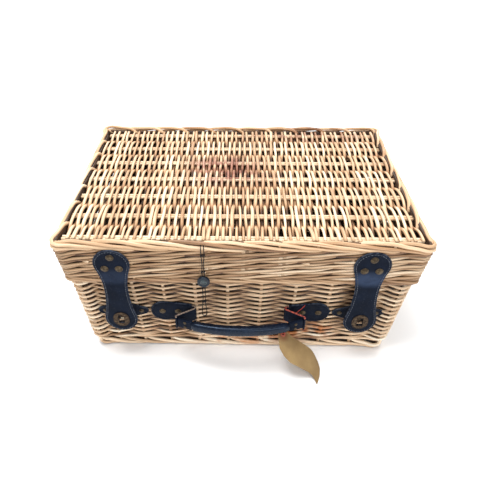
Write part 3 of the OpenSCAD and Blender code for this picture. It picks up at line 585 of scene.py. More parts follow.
def wale(loop, z, radius, rods, over, under, slope, tones):
    """A row of three-rod waling.

    Each weaver passes in front of two stakes and behind one, and rises to the right.
    """
    for w in range(3):
        q = np.arange(SEAM + w, SEAM + w + STAKES + 0.4, 0.1)
        phase = (q - w) % 3
        out = eased(q, lambda j: under if (j - w) % 3 == 0 else over)
        falls = [1.12 - 2.17 * (0.5 + phase / 0.9), 1.05 - 2.17 * (phase - 2.55) / 0.9]
        rise = np.select([phase < 0.45, phase > 2.55], falls, phase - 1.5)
        size = radius * (1 + drift(q, 0.09, 11.0))
        dice.random()  # unused; it keeps the order of the random draws
        path = loop(q, out + drift(q, 0.25, 3.0), z + slope * rise + drift(q, 0.45, 4.0))
        for cut in range(0, len(q), 110):
            part = slice(cut, min(cut + 113, len(q)))
            if part.stop - part.start > 8:
                # Painted shade: the stretches of a weaver behind a stake get a lower tone.
                deep = np.clip((over - out[part]) / (over - under), 0, 1)
                rods.add(path[part], size[part], sides=7, tone=rod_tone(*tones) - 0.5 * deep)


# ---------------------------------------------------------------- the two cords
def spline(points, per=6):
    """A smooth line through points (Catmull-Rom)."""
    p = np.asarray(points, float)
    p = np.concatenate([[2 * p[0] - p[1]], p, [2 * p[-1] - p[-2]]])
    t = np.linspace(0, 1, per, endpoint=False)[:, None]
    rows = []
    for a, b, c, d in zip(p, p[1:], p[2:], p[3:]):
        square, cube = 2 * a - 5 * b + 4 * c - d, 3 * b - a - 3 * c + d
        rows.append(0.5 * (2 * b + (c - a) * t + square * t**2 + cube * t**3))
    return np.concatenate(rows + [p[-2][None]])


def hang(name, route, radius, material, body):
    line = spline(route, 5)
    rods = Rods()
    rods.add(line, radius, up=(0.13, 1, 0.2), sides=8)
    obj = rods.build(name, material)
    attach(obj, body)
    return obj


SEAL_ROUTE = [
    (-45.4, -164.2, 206.6), (-45.4, -165.4, 203.6), (-45.2, -166, 199), (-45, -166, 194), (-45.4, -166, 188),
    (-46, -166, 182), (-46.2, -166, 176), (-46, -166, 170), (-45.6, -166, 164), (-45.4, -166, 158),
    (-45.4, -166, 150), (-45.4, -166, 142), (-45.4, -166, 136), (-45.6, -166, 128), (-45.8, -166, 120),
    (-45.4, -166, 112), (-44.8, -166, 104), (-44.4, -166, 97), (-44.6, -166, 93), (-45.6, -166, 90.4),
    (-47.4, -166, 89.6), (-49.2, -166, 90.4), (-50.2, -166, 93), (-50.2, -166, 97), (-49.8, -166, 104),
    (-49.2, -166, 112), (-48.6, -166, 120), (-48.5, -166, 128), (-48.6, -166, 136), (-48.6, -166, 142),
    (-48.6, -166, 150), (-48.6, -166, 158), (-48.6, -166, 164), (-48.4, -166, 170), (-48, -166, 176),
    (-48.2, -166, 182), (-48.6, -166, 188), (-49, -166, 194), (-49, -166, 199), (-48.8, -165.4, 203.6),
    (-48.8, -164.2, 206.6)]
THREAD_ROUTE = [
    (87, -151.4, 96), (84.5, -151.4, 92), (82, -151.4, 88.5), (79, -151.4, 85), (76.5, -151.6, 81.5),
    (74, -151.8, 78), (72.2, -151.9, 74.2), (71, -152.3, 70.6), (70.2, -153.6, 67.8), (69, -156, 66.7),
    (67.5, -160, 66.5), (65.5, -164, 66.7), (63.6, -167.6, 67), (62.1, -170.6, 67.1), (60.8, -172.6, 66.3),
    (59.6, -173.1, 64.8), (58.6, -172.42, 63.67), (57.27, -171.49, 62.2)]
knots = Rods()
for z, x in ((192, -47), (166, -47.1), (116, -47.1)):
    angle = np.linspace(0, 2 * np.pi, 17)
    for step in (-0.35, 0.35):
        ring = np.stack([x + 2.75 * np.cos(angle), SEAL_Y + 1.25 * np.sin(angle),
                         z + step + 0.7 * np.cos(angle)], -1)
        knots.add(ring, 0.4, up=(0, 0, 1), sides=6)
seal_knots = knots.build("seal_knots", cord_black)
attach(seal_knots, "seal")
seal_cord = hang("seal_cord_twisted", SEAL_ROUTE, 0.6, cord_black, "seal")
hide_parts("seal_cord")
tag_thread = hang("tag_thread_twisted", THREAD_ROUTE, 0.45, thread_red, "basket")
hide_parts("tag_thread")

# ---------------------------------------------------------------- lid: top, border, sides, rim, frame
TOP_RODS, TOP_HALF = 106, 217.4
top = Rods()
pitch = 2 * TOP_HALF / (TOP_RODS - 1)
y = np.linspace(-152, 152, 105)
for i in range(TOP_RODS):
    x = -TOP_HALF + i * pitch + dice.uniform(-0.4, 0.4) + drift(y, 0.7, 190.0)
    x = x + dice.uniform(-1.2, 1.2) * y / 150
    swing = np.cos(np.pi * y / PAIR_PITCH) * (-1) ** i
    z = TOP_MID_Z + 4.3 * np.tanh(1.5 * swing) / math.tanh(1.5) + drift(y, 0.25, 60.0)
    x = x + 0.75 * swing * (-1) ** (i // 2)
    size = dice.uniform(1.75, 2.35) * (1 + dice.choice((-0.1, 0.1)) * y / 152)
    # Painted shade: where a top rod dips below the sticks its tone is lowered in proportion to the depth.
    deep = np.clip((203.5 - z) / 6.5, 0, 1)
    tone = rod_tone(0.42, 1.05) - 0.66 * deep
    top.add(np.stack([x, y, z], -1), size, up=(1, 0, 0), sides=8, tone=tone)
finish_piece(top.build("lid_top_rods", willow_lid), "lid", ("lid_panel",))

edge = Rods(0.35)
EDGE_KEYS = ((-0.13, -3.8, 197), (-0.02, -2.8, 202), (0.12, -1.6, 205.2), (0.5, -0.2, 206.4),
             (0.9, 0.9, 205.6), (1.2, 2.0, 203.5), (1.6, 2.7, 201.1), (2.3, 2.9, 198.0),
             (2.95, 2.1, 195.2), (3.2, -0.6, 193.8))
for z in (194.2, 197.8, 201.4, 204.0):
    dark_shade_rod(lid_loop, z, 2.2, edge, -1.6)
strands(lid_loop, EDGE_KEYS, 2.35, edge, (0.3, 1.0), lift=4.5)
finish_piece(edge.build("lid_edge_strands", willow_edge), "lid", ("lid_edge_border",))

sides = Rods(0.75)
LID_ROWS, LID_ROW_Z, LID_ROW_PITCH = 5, 152.8, 9.3
for row in range(LID_ROWS):
    row_z = LID_ROW_Z + LID_ROW_PITCH * row
    wale(lid_loop, row_z, 1.95, sides, 2.2, -2.6, 4.9, (0.35, 1.1))
    for lift in (-4.6, -1.5, 1.5):
        dark_shade_rod(lid_loop, row_z + lift, 1.7, sides, -1.5)
for i in range(STAKES):
    if dice.random() < 0.55:
        q = i + dice.uniform(-0.2, 0.3)
        z = dice.choice((161, 167.5, 176)) + dice.uniform(-1, 1)
        path = lid_loop(np.array([q - 0.16, q - 0.06, q + 0.02]), np.array([1.0, 3.4, 4.8]),
                        np.array([z - 1, z, z + 0.8]))
        sides.add(path, 1.75, sides=8, tone=0.8, cut=0.2)
finish_piece(sides.build("lid_side_wales", willow_side_shaded), "lid",
             ("lid_front_wall", "lid_back_wall", "lid_left_wall", "lid_right_wall"))

rim = Rods(0.35)
LID_RIM_KEYS = ((-0.1, -3, 147), (0.1, 1.2, 147), (0.4, 2.3, 146.2), (1.2, 2.6, 143.6),
                (1.85, 1.8, 142.1), (2.1, -2.2, 142.4))
strands(lid_loop, LID_RIM_KEYS, 2.2, rim, (0.2, 0.8), 0.3)
for z in (142.9, 145.6):
    dark_shade_rod(lid_loop, z, 1.9, rim, -0.8)
dark_shade_rod(lid_loop, 143.8, 1.9, rim, -2.4)
finish_piece(rim.build("lid_rim_strands", willow_side_shaded), "lid", ("lid_rim",))

bones = Rods()
for k in range(PAIRS):
    middle_y = (k - PAIRS // 2) * PAIR_PITCH
    for side in (-2.4, 2.4):
        x = np.linspace(-221, 221, 60)
        line = np.stack([x, middle_y + side + drift(x, 0.25, 200.0), np.full(60, TOP_MID_Z)], -1)
        size = 2.0 * dice.uniform(0.95, 1.08)
        bones.add(line, size, up=(0, 0, 1), sides=8, tone=rod_tone(0.6, 1.0))
for i in range(STAKES):
    z = np.linspace(143, 202, 8)
    bones.add(lid_loop(np.full(8, float(i)), 0.0, z), 1.9, up=(1, 0.3, 0), sides=8, tone=rod_tone(0.4, 0.9))
finish_piece(bones.build("lid_sticks_and_stakes", willow_lid), "lid",
             ("lid_sticks", "lid_stakes", "lid_posts"))

# ---------------------------------------------------------------- body: rows, waling, borders, frame, base
weave = Rods(0.55)
low_row, row_pitch = 24.5, 4.15
rows = int((143.2 - low_row) / row_pitch) + 1
for k in range(rows):
    z = low_row + k * row_pitch

    def stroke(j, k=k):
        j %= STAKES
        side = 1 if (j + k) % 2 == 0 else -1
        return (3.3 + 5.0 * side) if j in CORNERS else 4.3 * side

    at = dice.choice((15, 17, 19, 21)) + (k + 1) % 2
    stop = at + STAKES
    while at < stop:
        to = min(at + dice.choice((8, 10, 12)), stop)
        q = np.arange(at - 0.42, to + 0.43, 0.1)
        inward = 1.6 * (np.clip((at - q) / 0.4, 0, 1) + np.clip((q - to) / 0.4, 0, 1))
        butt, tip = (2.1, 1.5) if dice.random() < 0.5 else (1.5, 2.1)
        thick = np.linspace(butt, tip, len(q))
        path = body_loop(q, eased(q, stroke) - inward, z + drift(q, 0.5, 3.7))
        # Painted shade: the stretches of a row behind a stake get a lower tone.
        deep = np.clip((3.6 - eased(q, stroke)) / 7.2, 0, 1)
        weave.add(path, thick, sides=7, tone=rod_tone(0.4, 1.05) - 0.5 * deep)
        at = to
    dark_shade_rod(body_loop, z + row_pitch / 2, 2.15, weave, -1.0)
wale(body_loop, 19.4, 1.95, weave, 3.9, -3.6, 2.4, (0.3, 0.9))
finish_piece(weave.build("body_rows", willow_body_lit), "basket",
             ("front_wall", "back_wall", "left_wall", "right_wall"))

foot = Rods(0.4)
FOOT_KEYS = ((-0.12, -3, 16), (0.04, 1.5, 14.2), (0.25, 3.6, 12.2), (0.8, 4.2, 7.4), (1.3, 3.8, 4.2),
             (1.95, 3.0, 3.1), (2.15, -2.0, 3.0))
INNER_FOOT_KEYS = ((-0.1, -5, 9), (0.2, -4.8, 4), (1.0, -4.0, 2.9), (1.9, -4.0, 2.9), (2.1, -4.0, 3.0))
strands(body_loop, FOOT_KEYS, 2.5, foot, (0.4, 1.05), 0.3)
# The inner foot strands take the darkest tones: painted shade inside the foot.
strands(body_loop, INNER_FOOT_KEYS, 2.1, foot, (0.0, 0.15), 0.2)
for z in (4.2, 8.6, 13.0, 17.4):
    dark_shade_rod(body_loop, z, 2.4, foot, -2.6)
dark_shade_rod(body_loop, 4.4, 2.6, foot, -6.0)
finish_piece(foot.build("foot_strands", willow_body_lit), "basket", ("foot_border",))

rim = Rods(0.35)
RIM_KEYS = ((-0.12, -4, 144.5), (0.05, -2.6, 148.5), (0.5, -1.0, 149.8), (1.0, 1.5, 149.4),
            (1.6, 3.2, 147.6), (2.1, 1.6, 145.6), (2.3, -1.6, 145))
strands(body_loop, RIM_KEYS, 2.05, rim, (0.3, 0.85), 0.25)
for z in (144.8, 148.0):
    dark_shade_rod(body_loop, z, 2.3, rim, -1.4)
finish_piece(rim.build("body_rim_strands", willow_body_lit), "basket", ("body_rim",))

bones = Rods()
for i in range(STAKES):
    z = np.linspace(5, 147, 12)
    out, size = (3.3, 3.0) if i in CORNERS else (0.0, 2.3)
    path = body_loop(np.full(12, float(i)), out, z)
    bones.add(path, size, up=(1, 0.3, 0), sides=10, tone=rod_tone(0.5, 0.95))
finish_piece(bones.build("body_stakes_rods", willow_body_lit), "basket",
             ("front_stakes", "back_stakes", "end_stakes", "corner_posts"))

BASE_RODS, BASE_HALF = 118, 198.0
base = Rods()
y = np.linspace(-132, 132, 90)
for i in range(BASE_RODS):
    x = -BASE_HALF + i * 2 * BASE_HALF / (BASE_RODS - 1) + drift(y, 0.3, 120.0)
    z = BASE_MID_Z + 2.9 * np.cos(np.pi * y / BASE_PITCH) * (-1) ** i
    size = dice.uniform(1.75, 1.95)
    base.add(np.stack([x, y, z], -1), size, up=(1, 0, 0), sides=6, tone=rod_tone(0.1, 0.7))
finish_piece(base.build("base_rods", willow_side_shaded), "basket", ("base_panel",))
base = Rods()
x = np.linspace(-199, 199, 40)
for k in range(BASE_STICKS):
    line = np.stack([x, np.full(40, (k - BASE_STICKS // 2) * BASE_PITCH), np.full(40, BASE_MID_Z)], -1)
    base.add(line, 1.6, up=(0, 0, 1), sides=8, tone=0.7)
finish_piece(base.build("base_stick_rods", willow_side_shaded), "basket", ("base_sticks",))

# ---------------------------------------------------------------- leather and metal, cut from sheet
def arc(centre, radius, start, stop, count):
    turns = [math.radians(start + (stop - start) * i / count) for i in range(count + 1)]
    return [(centre[0] + radius * math.cos(t), centre[1] + radius * math.sin(t)) for t in turns]


def resample(loop, step):
    p = np.asarray(loop, float)
    p = p[np.linalg.norm(p - np.roll(p, 1, 0), axis=1) > 1e-6]
    p = np.concatenate([p, p[:1]])
    run = lengths(p)
    s = np.linspace(0, run[-1], max(8, int(run[-1] / step)), endpoint=False)
    return np.stack([np.interp(s, run, p[:, 0]), np.interp(s, run, p[:, 1])], -1)


def facing(loop, left):
    x, y = loop[:, 0], loop[:, 1]
    area = (x * np.roll(y, -1) - np.roll(x, -1) * y).sum()
    return loop if (area > 0) == left else loop[::-1]


def section(wide, tall, corner, count=4):
    w, t, c = wide / 2 - corner, tall / 2 - corner, corner
    return (arc((w, t), c, 0, 90, count) + arc((-w, t), c, 90, 180, count)
            + arc((-w, -t), c, 180, 270, count) + arc((w, -t), c, 270, 360, count))


class Sheet:
    """A flat outline with holes, meshed with rounded edges: distance holds each point's way from an edge."""

    def __init__(self, outline, holes=(), soft=1.0, cell=3.0, step=1.1):
        self.loops = [facing(resample(outline, step), True)]
        self.loops += [facing(resample(hole, step), False) for hole in holes]
        rings = [self.inset(loop, soft * part) for loop in self.loops for part in (0.12, 0.4, 0.75, 1.15)]
        low, high = self.loops[0].min(0), self.loops[0].max(0)
        grid = np.meshgrid(np.arange(low[0], high[0], cell), np.arange(low[1], high[1], cell))
        grid = np.stack(grid, -1).reshape(-1, 2)
        grid = grid + cell * 0.37
        grid = grid[self.inside(grid)]
        grid = grid[self.away(grid) > soft * 1.3 + cell * 0.3]
        points = np.concatenate(self.loops + rings + [grid])
        edges, start = [], 0
        for loop in self.loops:
            edges += [(start + i, start + (i + 1) % len(loop)) for i in range(len(loop))]
            start += len(loop)
        self.border = start
        out = delaunay_2d_cdt([Vector(p) for p in points.tolist()], edges, [], 0, 1e-6)
        self.points = np.array([tuple(v) for v in out[0]])
        triangles = np.array([tuple(f) for f in out[2]])
        self.triangles = triangles[self.inside(self.points[triangles].mean(1))]
        self.distance = self.away(self.points)

    def inset(self, loop, d):
        tangent = unit(np.roll(loop, -1, 0) - np.roll(loop, 1, 0))
        points = loop + np.stack([-tangent[:, 1], tangent[:, 0]], -1) * d
        return points[np.abs(self.away(points) - d) < 0.08 * d + 0.02]

    def inside(self, points):
        hits = np.zeros(len(points), int)
        for loop in self.loops:
            a, b = loop[None], np.roll(loop, -1, 0)[None]
            y = points[:, None, 1]
            crosses = (a[..., 1] > y) != (b[..., 1] > y)
            run = np.where(b[..., 1] == a[..., 1], 1e-9, b[..., 1] - a[..., 1])
            x = a[..., 0] + (y - a[..., 1]) / run * (b[..., 0] - a[..., 0])
            hits += (crosses & (points[:, None, 0] < x)).sum(1)
        return hits % 2 == 1

    def away(self, points):
        best = np.full(len(points), 1e9)
        for loop in self.loops:
            a, b = loop[None], np.roll(loop, -1, 0)[None]
            ab, ap = b - a, points[:, None] - a
            t = np.clip((ap * ab).sum(-1) / (ab * ab).sum(-1), 0, 1)
            best = np.minimum(best, np.linalg.norm(ap - ab * t[..., None], axis=-1).min(1))
        return best

    def solid(self, thick, warp, soft=1.0, relief=None):
        """(points, triangles, rim) of the sheet, warped from (across, up, out) into place."""
        d = self.distance
        swell = np.sqrt(1 - (1 - np.clip(d / soft, 0, 1)) ** 2)
        edge = d < 1e-4
        front = thick / 2 + thick / 2 * swell + (relief(d) if relief else 0) * ~edge
        rear = thick / 2 - thick / 2 * swell
        index = np.arange(len(d))
        rear_index = np.where(edge, index, np.cumsum(~edge) - 1 + len(d))
        u, v = self.points[:, 0], self.points[:, 1]
        points = np.concatenate([warp(u, v, front), warp(u[~edge], v[~edge], rear[~edge])])
        flip = rear_index[self.triangles][:, ::-1]
        rim = np.clip(1 - d / 1.6, 0, 1)
        return points, np.concatenate([self.triangles, flip]), np.concatenate([rim, rim[~edge]])


def stitches(sheet, thick, warp, inset=2.9, pitch=3.7, length=2.5, radius=0.42, keep=None):
    """Short raised stitches along the sheet's edges."""
    rods = Rods()
    line = sheet.inset(sheet.loops[0], inset)
    line = resample(line, pitch)
    for a, b in zip(line, np.roll(line, -1, 0)):
        gap = np.linalg.norm(b - a)
        if gap > pitch * 1.8 or (keep and not keep(a)):
            continue
        t = np.linspace(0, 1, 5)[:, None]
        flat = a + (b - a) / gap * length * t
        lift = thick + 0.30 - 0.6 * (2 * t[:, 0] - 1) ** 2
        rods.add(warp(flat[:, 0], flat[:, 1], lift), radius, up=(0.2, 0.9, 0.3), sides=5, tone=0.5)
    return rods


def assemble(name, parts, materials):
    """One mesh from (points, quads, triangles, rim, slot) parts."""
    points, quads, triangles, rim, quad_slots, triangle_slots, base = [], [], [], [], [], [], 0
    for p, q, t, r, slot in parts:
        points.append(p)
        quads.append(np.asarray(q, int).reshape(-1, 4) + base)
        triangles.append(np.asarray(t, int).reshape(-1, 3) + base)
        rim.append(np.broadcast_to(r, (len(p),)))
        quad_slots.append(np.full(len(quads[-1]), slot))
        triangle_slots.append(np.full(len(triangles[-1]), slot))
        base += len(p)
    joined = [np.concatenate(part) for part in (points, quads, triangles)]
    return array_mesh(name, *joined, materials, {"rim": np.concatenate(rim)},
                      slots=np.concatenate(quad_slots + triangle_slots))


def sewn_leather(name, shape, sewn, material):
    """A leather part with its stitches as a second material."""
    return assemble(name, [shape, rod_part(sewn, 1)], [material, stitch_thread])


def rod_part(rods, slot):
    return np.concatenate(rods.points), np.concatenate(rods.quads), np.concatenate(rods.triangles), 0.0, slot


def sheet_part(sheet, thick, warp, slot, soft=1.0, relief=None):
    points, triangles, rim = sheet.solid(thick, warp, soft, relief)
    return points, [], triangles, rim, slot


def plane(origin, x_axis, y_axis):
    """A warp onto a flat plane with its own out direction."""
    o, a, b = (np.asarray(v, float) for v in (origin, x_axis, y_axis))
    c = np.cross(a, b)
    return lambda u, v, w: o + np.multiply.outer(u, a) + np.multiply.outer(v, b) + np.multiply.outer(w, c)


def body_front(x):
    return plane((x, -body_y(LOCK_Z), LOCK_Z), (1, 0, 0), (0, -math.sin(BODY_TILT), math.cos(BODY_TILT)))


def lid_front(x, z):
    return plane((x, -lid_y(z), z), (1, 0, 0), (0, -math.sin(LID_TILT), math.cos(LID_TILT)))


def lathe(profile, warp, slot=0, segments=26):
    """A turned part: its profile is (radius, out, rim) from the outermost end, closed where radius is 0."""
    turns = np.arange(segments) * 2 * np.pi / segments
    points, rim, rows = [], [], []
    for r, h, worn in profile:
        n = 1 if r == 0 else segments
        a = turns[:n]
        rows.append((sum(len(x) for x in points), n))
        points.append(warp(r * np.cos(a), r * np.sin(a), np.full(n, float(h))))
        rim.append(np.full(n, float(worn)))
    quads, triangles = [], []
    for (a, n), (b, m) in zip(rows, rows[1:]):
        for k in range(segments):
            j = (k + 1) % segments
            if n == 1:
                triangles.append((a, b + k, b + j))
            elif m == 1:
                triangles.append((a + j, a + k, b))
            else:
                quads.append((a + k, b + k, b + j, a + j))
    return np.concatenate(points), quads, triangles, np.concatenate(rim), slot


def cap(r, tall):
    """A rivet's cap: a low flange round a dome."""
    dome = ((0, 1, 0), (0.3, 0.96, 0), (0.55, 0.80, 0), (0.72, 0.52, 0.3), (0.80, 0.36, 1),
            (0.88, 0.36, 0.3), (0.97, 0.26, 0))
    foot = [(r, 0.15, 0.6), (r * 0.98, -0.3, 1), (0, -0.3, 1)]
    return [(r * part, tall * rise, worn) for part, rise, worn in dome] + foot


def shifted(warp, u0, v0, w0=0.0):
    return lambda u, v, w: warp(u + u0, v + v0, w + w0)


def inner(warp, u0, v0, depth):
    """The same place seen from inside, at a depth behind the skin."""
    return lambda u, v, w: warp(u0 - u, v0 + v, -depth - w)


def rivet(warp, u, v, front, out, rear, depth, segments=26):
    """A rivet's two caps, each (radius, height): the front one out on the leather, the rear one inside."""
    return [lathe(cap(*front), shifted(warp, u, v, out), 0, segments),
            lathe(cap(*rear), inner(warp, u, v, depth), 0, segments)]


# ---------------------------------------------------------------- closing straps
TOP_Z, WAIST_Z, LOW_Z, TOP_R, WAIST, LOW_R = 174.0, 130.0, 78.0, 23.0, 15.5, 22.0


def flank(lobe, run):
    return (run * run / (lobe - WAIST) - (lobe + WAIST)) / 2


upper, lower = flank(TOP_R, TOP_Z - WAIST_Z), flank(LOW_R, WAIST_Z - LOW_Z)
upper_turn = math.degrees(math.atan2(TOP_Z - WAIST_Z, WAIST + upper))
lower_turn = math.degrees(math.atan2(WAIST_Z - LOW_Z, WAIST + lower))
half = (arc((0, LOW_Z), LOW_R, -90, lower_turn, 24)
        + arc((WAIST + lower, WAIST_Z), lower, 180 + lower_turn * 0.9, 180, 10)
        + arc((WAIST + upper, WAIST_Z), upper, 180 - upper_turn * 0.1, 180 - upper_turn * 0.9, 10)
        + arc((0, TOP_Z), TOP_R, -upper_turn, 90, 24))
strap_outline = half + [(-x, z) for x, z in half[::-1]]
slot_outline = [(-4, LOW_Z - 7.25), (4, LOW_Z - 7.25), (4, LOW_Z + 7.25), (-4, LOW_Z + 7.25)]
strap_sheet = Sheet(strap_outline, (slot_outline,), soft=1.1, cell=2.6)


def strap_warp(x):
    over, hang_y = lid_front(x, FLEX_Z), -(lid_y(FLEX_Z) + 0.7)

    def warp(u, v, w):
        u, v, w = np.broadcast_arrays(*(np.asarray(c, float) for c in (u, v, w)))
        upper_part = over(u, v - FLEX_Z, w + 0.1)
        tail = np.stack([x + u, hang_y - w, v], -1)
        share = np.clip((v - FLEX_Z + 7) / 14, 0, 1)
        share = (share * share * (3 - 2 * share))[..., None]
        return upper_part * share + tail * (1 - share)
    return warp


plate_outline = arc((0, LOW_Z + 2), 11, 0, 180, 20) + arc((0, LOW_Z - 2), 11, 180, 360, 20)
plate_hole = [(x, y + LOW_Z) for x, y in section(7.6, 14, 0.9)]
plate_sheet = Sheet(plate_outline, (plate_hole,), soft=0.7, cell=1.0, step=0.9)


def plate_rings(distance):
    """The raised rings round an oval plate's edge."""
    return 0.32 * np.cos(distance * 2 * np.pi / 2.6) - 0.1


for side, name in SIDES:
    x = side * STRAP_X
    warp = strap_warp(x)
    sewn = stitches(strap_sheet, STRAP_T, warp)
    strap = sewn_leather("strap_leather_" + name, sheet_part(strap_sheet, STRAP_T, warp, 0, 1.1), sewn,
                         strap_leather)
    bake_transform(strap)
    finish_piece(strap, None, ("strap_top_" + name, "strap_tail_" + name))
    plate = sheet_part(plate_sheet, 1.1, shifted(warp, 0, 0, STRAP_T), 0, 0.7, plate_rings)
    plate = assemble("slot_plate_brass_" + name, [plate], [lock_brass])
    finish_piece(plate, "strap_" + name, ("slot_plate_" + name,))

caps = []
for side in (-1, 1):
    warp = lid_front(side * STRAP_X, FLEX_Z)
    for u, z in ((0, 185.5), (-9, 167.5), (9, 167.5)):
        caps += rivet(warp, u, z - FLEX_Z, (5.0, 2.1), STRAP_T + 0.2, (4.2, 1.0), 8.2)
finish_piece(assemble("strap_rivet_caps", caps, [rivet_brass]), "lid", ("strap_rivets",))

# ---------------------------------------------------------------- turn locks
patch_turn = math.degrees(math.asin(10 / 28))
half = (arc((0, 0), 17, -90, -90 + patch_turn, 4) + arc((28, 0), 7, -90 + patch_turn, 90 - patch_turn, 12)
        + arc((0, 0), 17, 90 - patch_turn, 90, 4))
patch_sheet = Sheet(half + [(-x, y) for x, y in half[::-1]], (), soft=1.0, cell=3.2)
tongue_sheet = Sheet(section(4.8, 6.2, 1.0), (), soft=0.9, cell=0.9, step=0.6)
tip_sheet = Sheet(section(5.0, 4.2, 0.8), (), soft=0.7, cell=0.9, step=0.6)
caps = []
for side, name in SIDES:
    warp = body_front(side * STRAP_X)
    skin = shifted(warp, 0, 0, 0.1)
    sewn = stitches(patch_sheet, PATCH_T, skin, 2.0, 3.5)
    patch = sewn_leather("lock_patch_leather_" + name, sheet_part(patch_sheet, PATCH_T, skin, 0), sewn,
                         strap_leather)
    finish_piece(patch, "basket", ("lock_patch_" + name,))
    plate = [(0, 3.5, 0), (3.9, 3.5, 0), (4.5, 3.2, 0.2), (4.6, 2.5, 1), (5.4, 2.3, 0.6), (8.2, 2.3, 0),
             (8.9, 1.9, 0), (9, 0.3, 0.6), (8.8, 0, 1), (0, 0, 1)]
    plate = lathe(plate, shifted(warp, 0, 0, 2.4), 0, 36)
    base_plate = assemble("lock_base_brass_" + name, [plate], [lock_brass])
    finish_piece(base_plate, "basket", ("lock_base_" + name,))
    shaft = [(0, 13.4, 0), (1.5, 13.4, 0), (1.9, 13.0, 0.2), (2.0, 6.0, 0.5), (0, 6.0, 1)]
    parts = [sheet_part(tongue_sheet, 2.8, shifted(warp, 0, 1.6, 10.8), 0, 0.9),
             sheet_part(tip_sheet, 2.9, shifted(warp, 0, -3.5, 10.8), 1, 0.7),
             lathe(shaft, warp, 0, 18)]
    # The left tongue's tip is painted with the near-white brass as a highlight; the right one keeps the lock
    # brass.
    knob = assemble("turn_tongue_brass_" + name, parts,
                    [lock_brass, tongue_brass if side < 0 else lock_brass])
    finish_piece(knob, "turn_" + name, ("turn_tongue_" + name,))
    for u in (-25, 25):
        caps += rivet(warp, u, 0, (3.5, 1.5), 2.4, (3.5, 0.9), 12.2)
finish_piece(assemble("patch_rivet_caps", caps, [rivet_brass]), "basket",
             ("lock_patch_rivets",))

# ---------------------------------------------------------------- handle tabs, folds, ends and grip
caps = []
for side, name in SIDES:
    outline = arc((104, 0), 19, -90, 90, 24) + [(66, 14), (66, -14)]
    tab_sheet = Sheet([(side * x, y) for x, y in outline], (), soft=1.1, cell=3.0)
    warp = shifted(body_front(0), 0, 0, 0.1)
    sewn = stitches(tab_sheet, TAB_T, warp, keep=lambda p: abs(p[0]) > 69)
    tab = sewn_leather("handle_tab_leather_" + name, sheet_part(tab_sheet, TAB_T, warp, 0, 1.1), sewn,
                       strap_leather)
    finish_piece(tab, "basket", ("handle_tab_" + name,))
    for u in (85.5, 107):
        caps += rivet(warp, side * u, 0, (4.5, 1.8), TAB_T, (4.0, 0.9), 12.3)
finish_piece(assemble("tab_rivet_caps", caps, [rivet_brass]), "basket", ("handle_tab_rivets",))


def sweep(path, across, upward, shape, scale=None, slot=0, worn=0.0, tuck=1.2):
    """A section carried along a path, with rounded closed ends."""
    path = np.asarray(path, float)
    shape = np.asarray(shape, float)
    across, upward = (np.broadcast_to(np.asarray(v, float), path.shape) for v in (across, upward))
    scale = np.ones(len(path)) if scale is None else np.asarray(scale, float)
    along = unit(np.gradient(path, axis=0))
    half_wide, half_tall = np.abs(shape).max(0)
    rings, rows = [], []
    for i in range(len(path)):
        rows.append((path[i], across[i], upward[i], scale[i], 0.0))
    for part in (0.55, 0.9):
        shrink, reach = tuck * (1 - math.sqrt(1 - part ** 2)), tuck * part * 0.8
        rows.insert(0, (path[0] - along[0] * reach, across[0], upward[0], scale[0], shrink))
        rows.append((path[-1] + along[-1] * reach, across[-1], upward[-1], scale[-1], shrink))
    for centre, a, b, s, shrink in rows:
        fit_to = np.array([s * (1 - shrink / half_wide), s * (1 - shrink / half_tall)])
        flat = shape * fit_to
        rings.append(centre + flat[:, :1] * a + flat[:, 1:] * b)
    n, m = len(rings), len(shape)
    points = np.concatenate(rings + [rings[0].mean(0)[None], rings[-1].mean(0)[None]])
    steps = [(k, (k + 1) % m) for k in range(m)]
    quads = [(i * m + k, i * m + j, (i + 1) * m + j, (i + 1) * m + k) for i in range(n - 1) for k, j in steps]
    triangles = [(j, k, n * m) for k, j in steps]
    triangles += [((n - 1) * m + k, (n - 1) * m + j, n * m + 1) for k, j in steps]
    return points, quads, triangles, worn, slot


FRONT_Y = body_y(LOCK_Z)
near, far = (64, -FRONT_Y - 5.5), (83.8, -168.1)
fold_line = [(65.2, near[1] + 3)] + arc(near, 3, 90, 237, 14) + arc(far, 2.2, 57, -60, 14)
for side, name, edge_material in ((-1, "left", edge_brown), (1, "right", edge_red)):
    line = np.array(fold_line)
    dense = [np.linspace(a, b, max(2, int(np.hypot(*(b - a))) + 1))[:-1] for a, b in zip(line, line[1:])]
    dense = np.concatenate(dense + [line[-1:]])
    path = np.stack([side * dense[:, 0], dense[:, 1], np.full(len(dense), LOCK_Z)], -1)
    along = unit(np.gradient(path, axis=0))
    across = np.stack([along[:, 1], -along[:, 0], along[:, 2] * 0], -1)
    band = sweep(path, across, (0, 0, 1), section(2.4, 20.6, 1.0), tuck=0.6)
    lips = [sweep(path + (0, 0, lift), across, (0, 0, 1), section(2.1, 1.2, 0.5), slot=1, tuck=0.4)
            for lift in (-10.4, 10.4)]
    fold = assemble("handle_fold_leather_" + name, [band] + lips, [strap_leather, edge_material])
    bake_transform(fold)
    finish_piece(fold, None, ("handle_fold_" + name,))

BOW_R, BOW_Y = 235.0, 51.5


def bow_line(start, stop, count):
    turns = np.radians(np.linspace(start, stop, count))
    out = np.stack([np.sin(turns), -np.cos(turns), turns * 0], -1)
    return np.array([0, BOW_Y, LOCK_Z]) + out * BOW_R, out


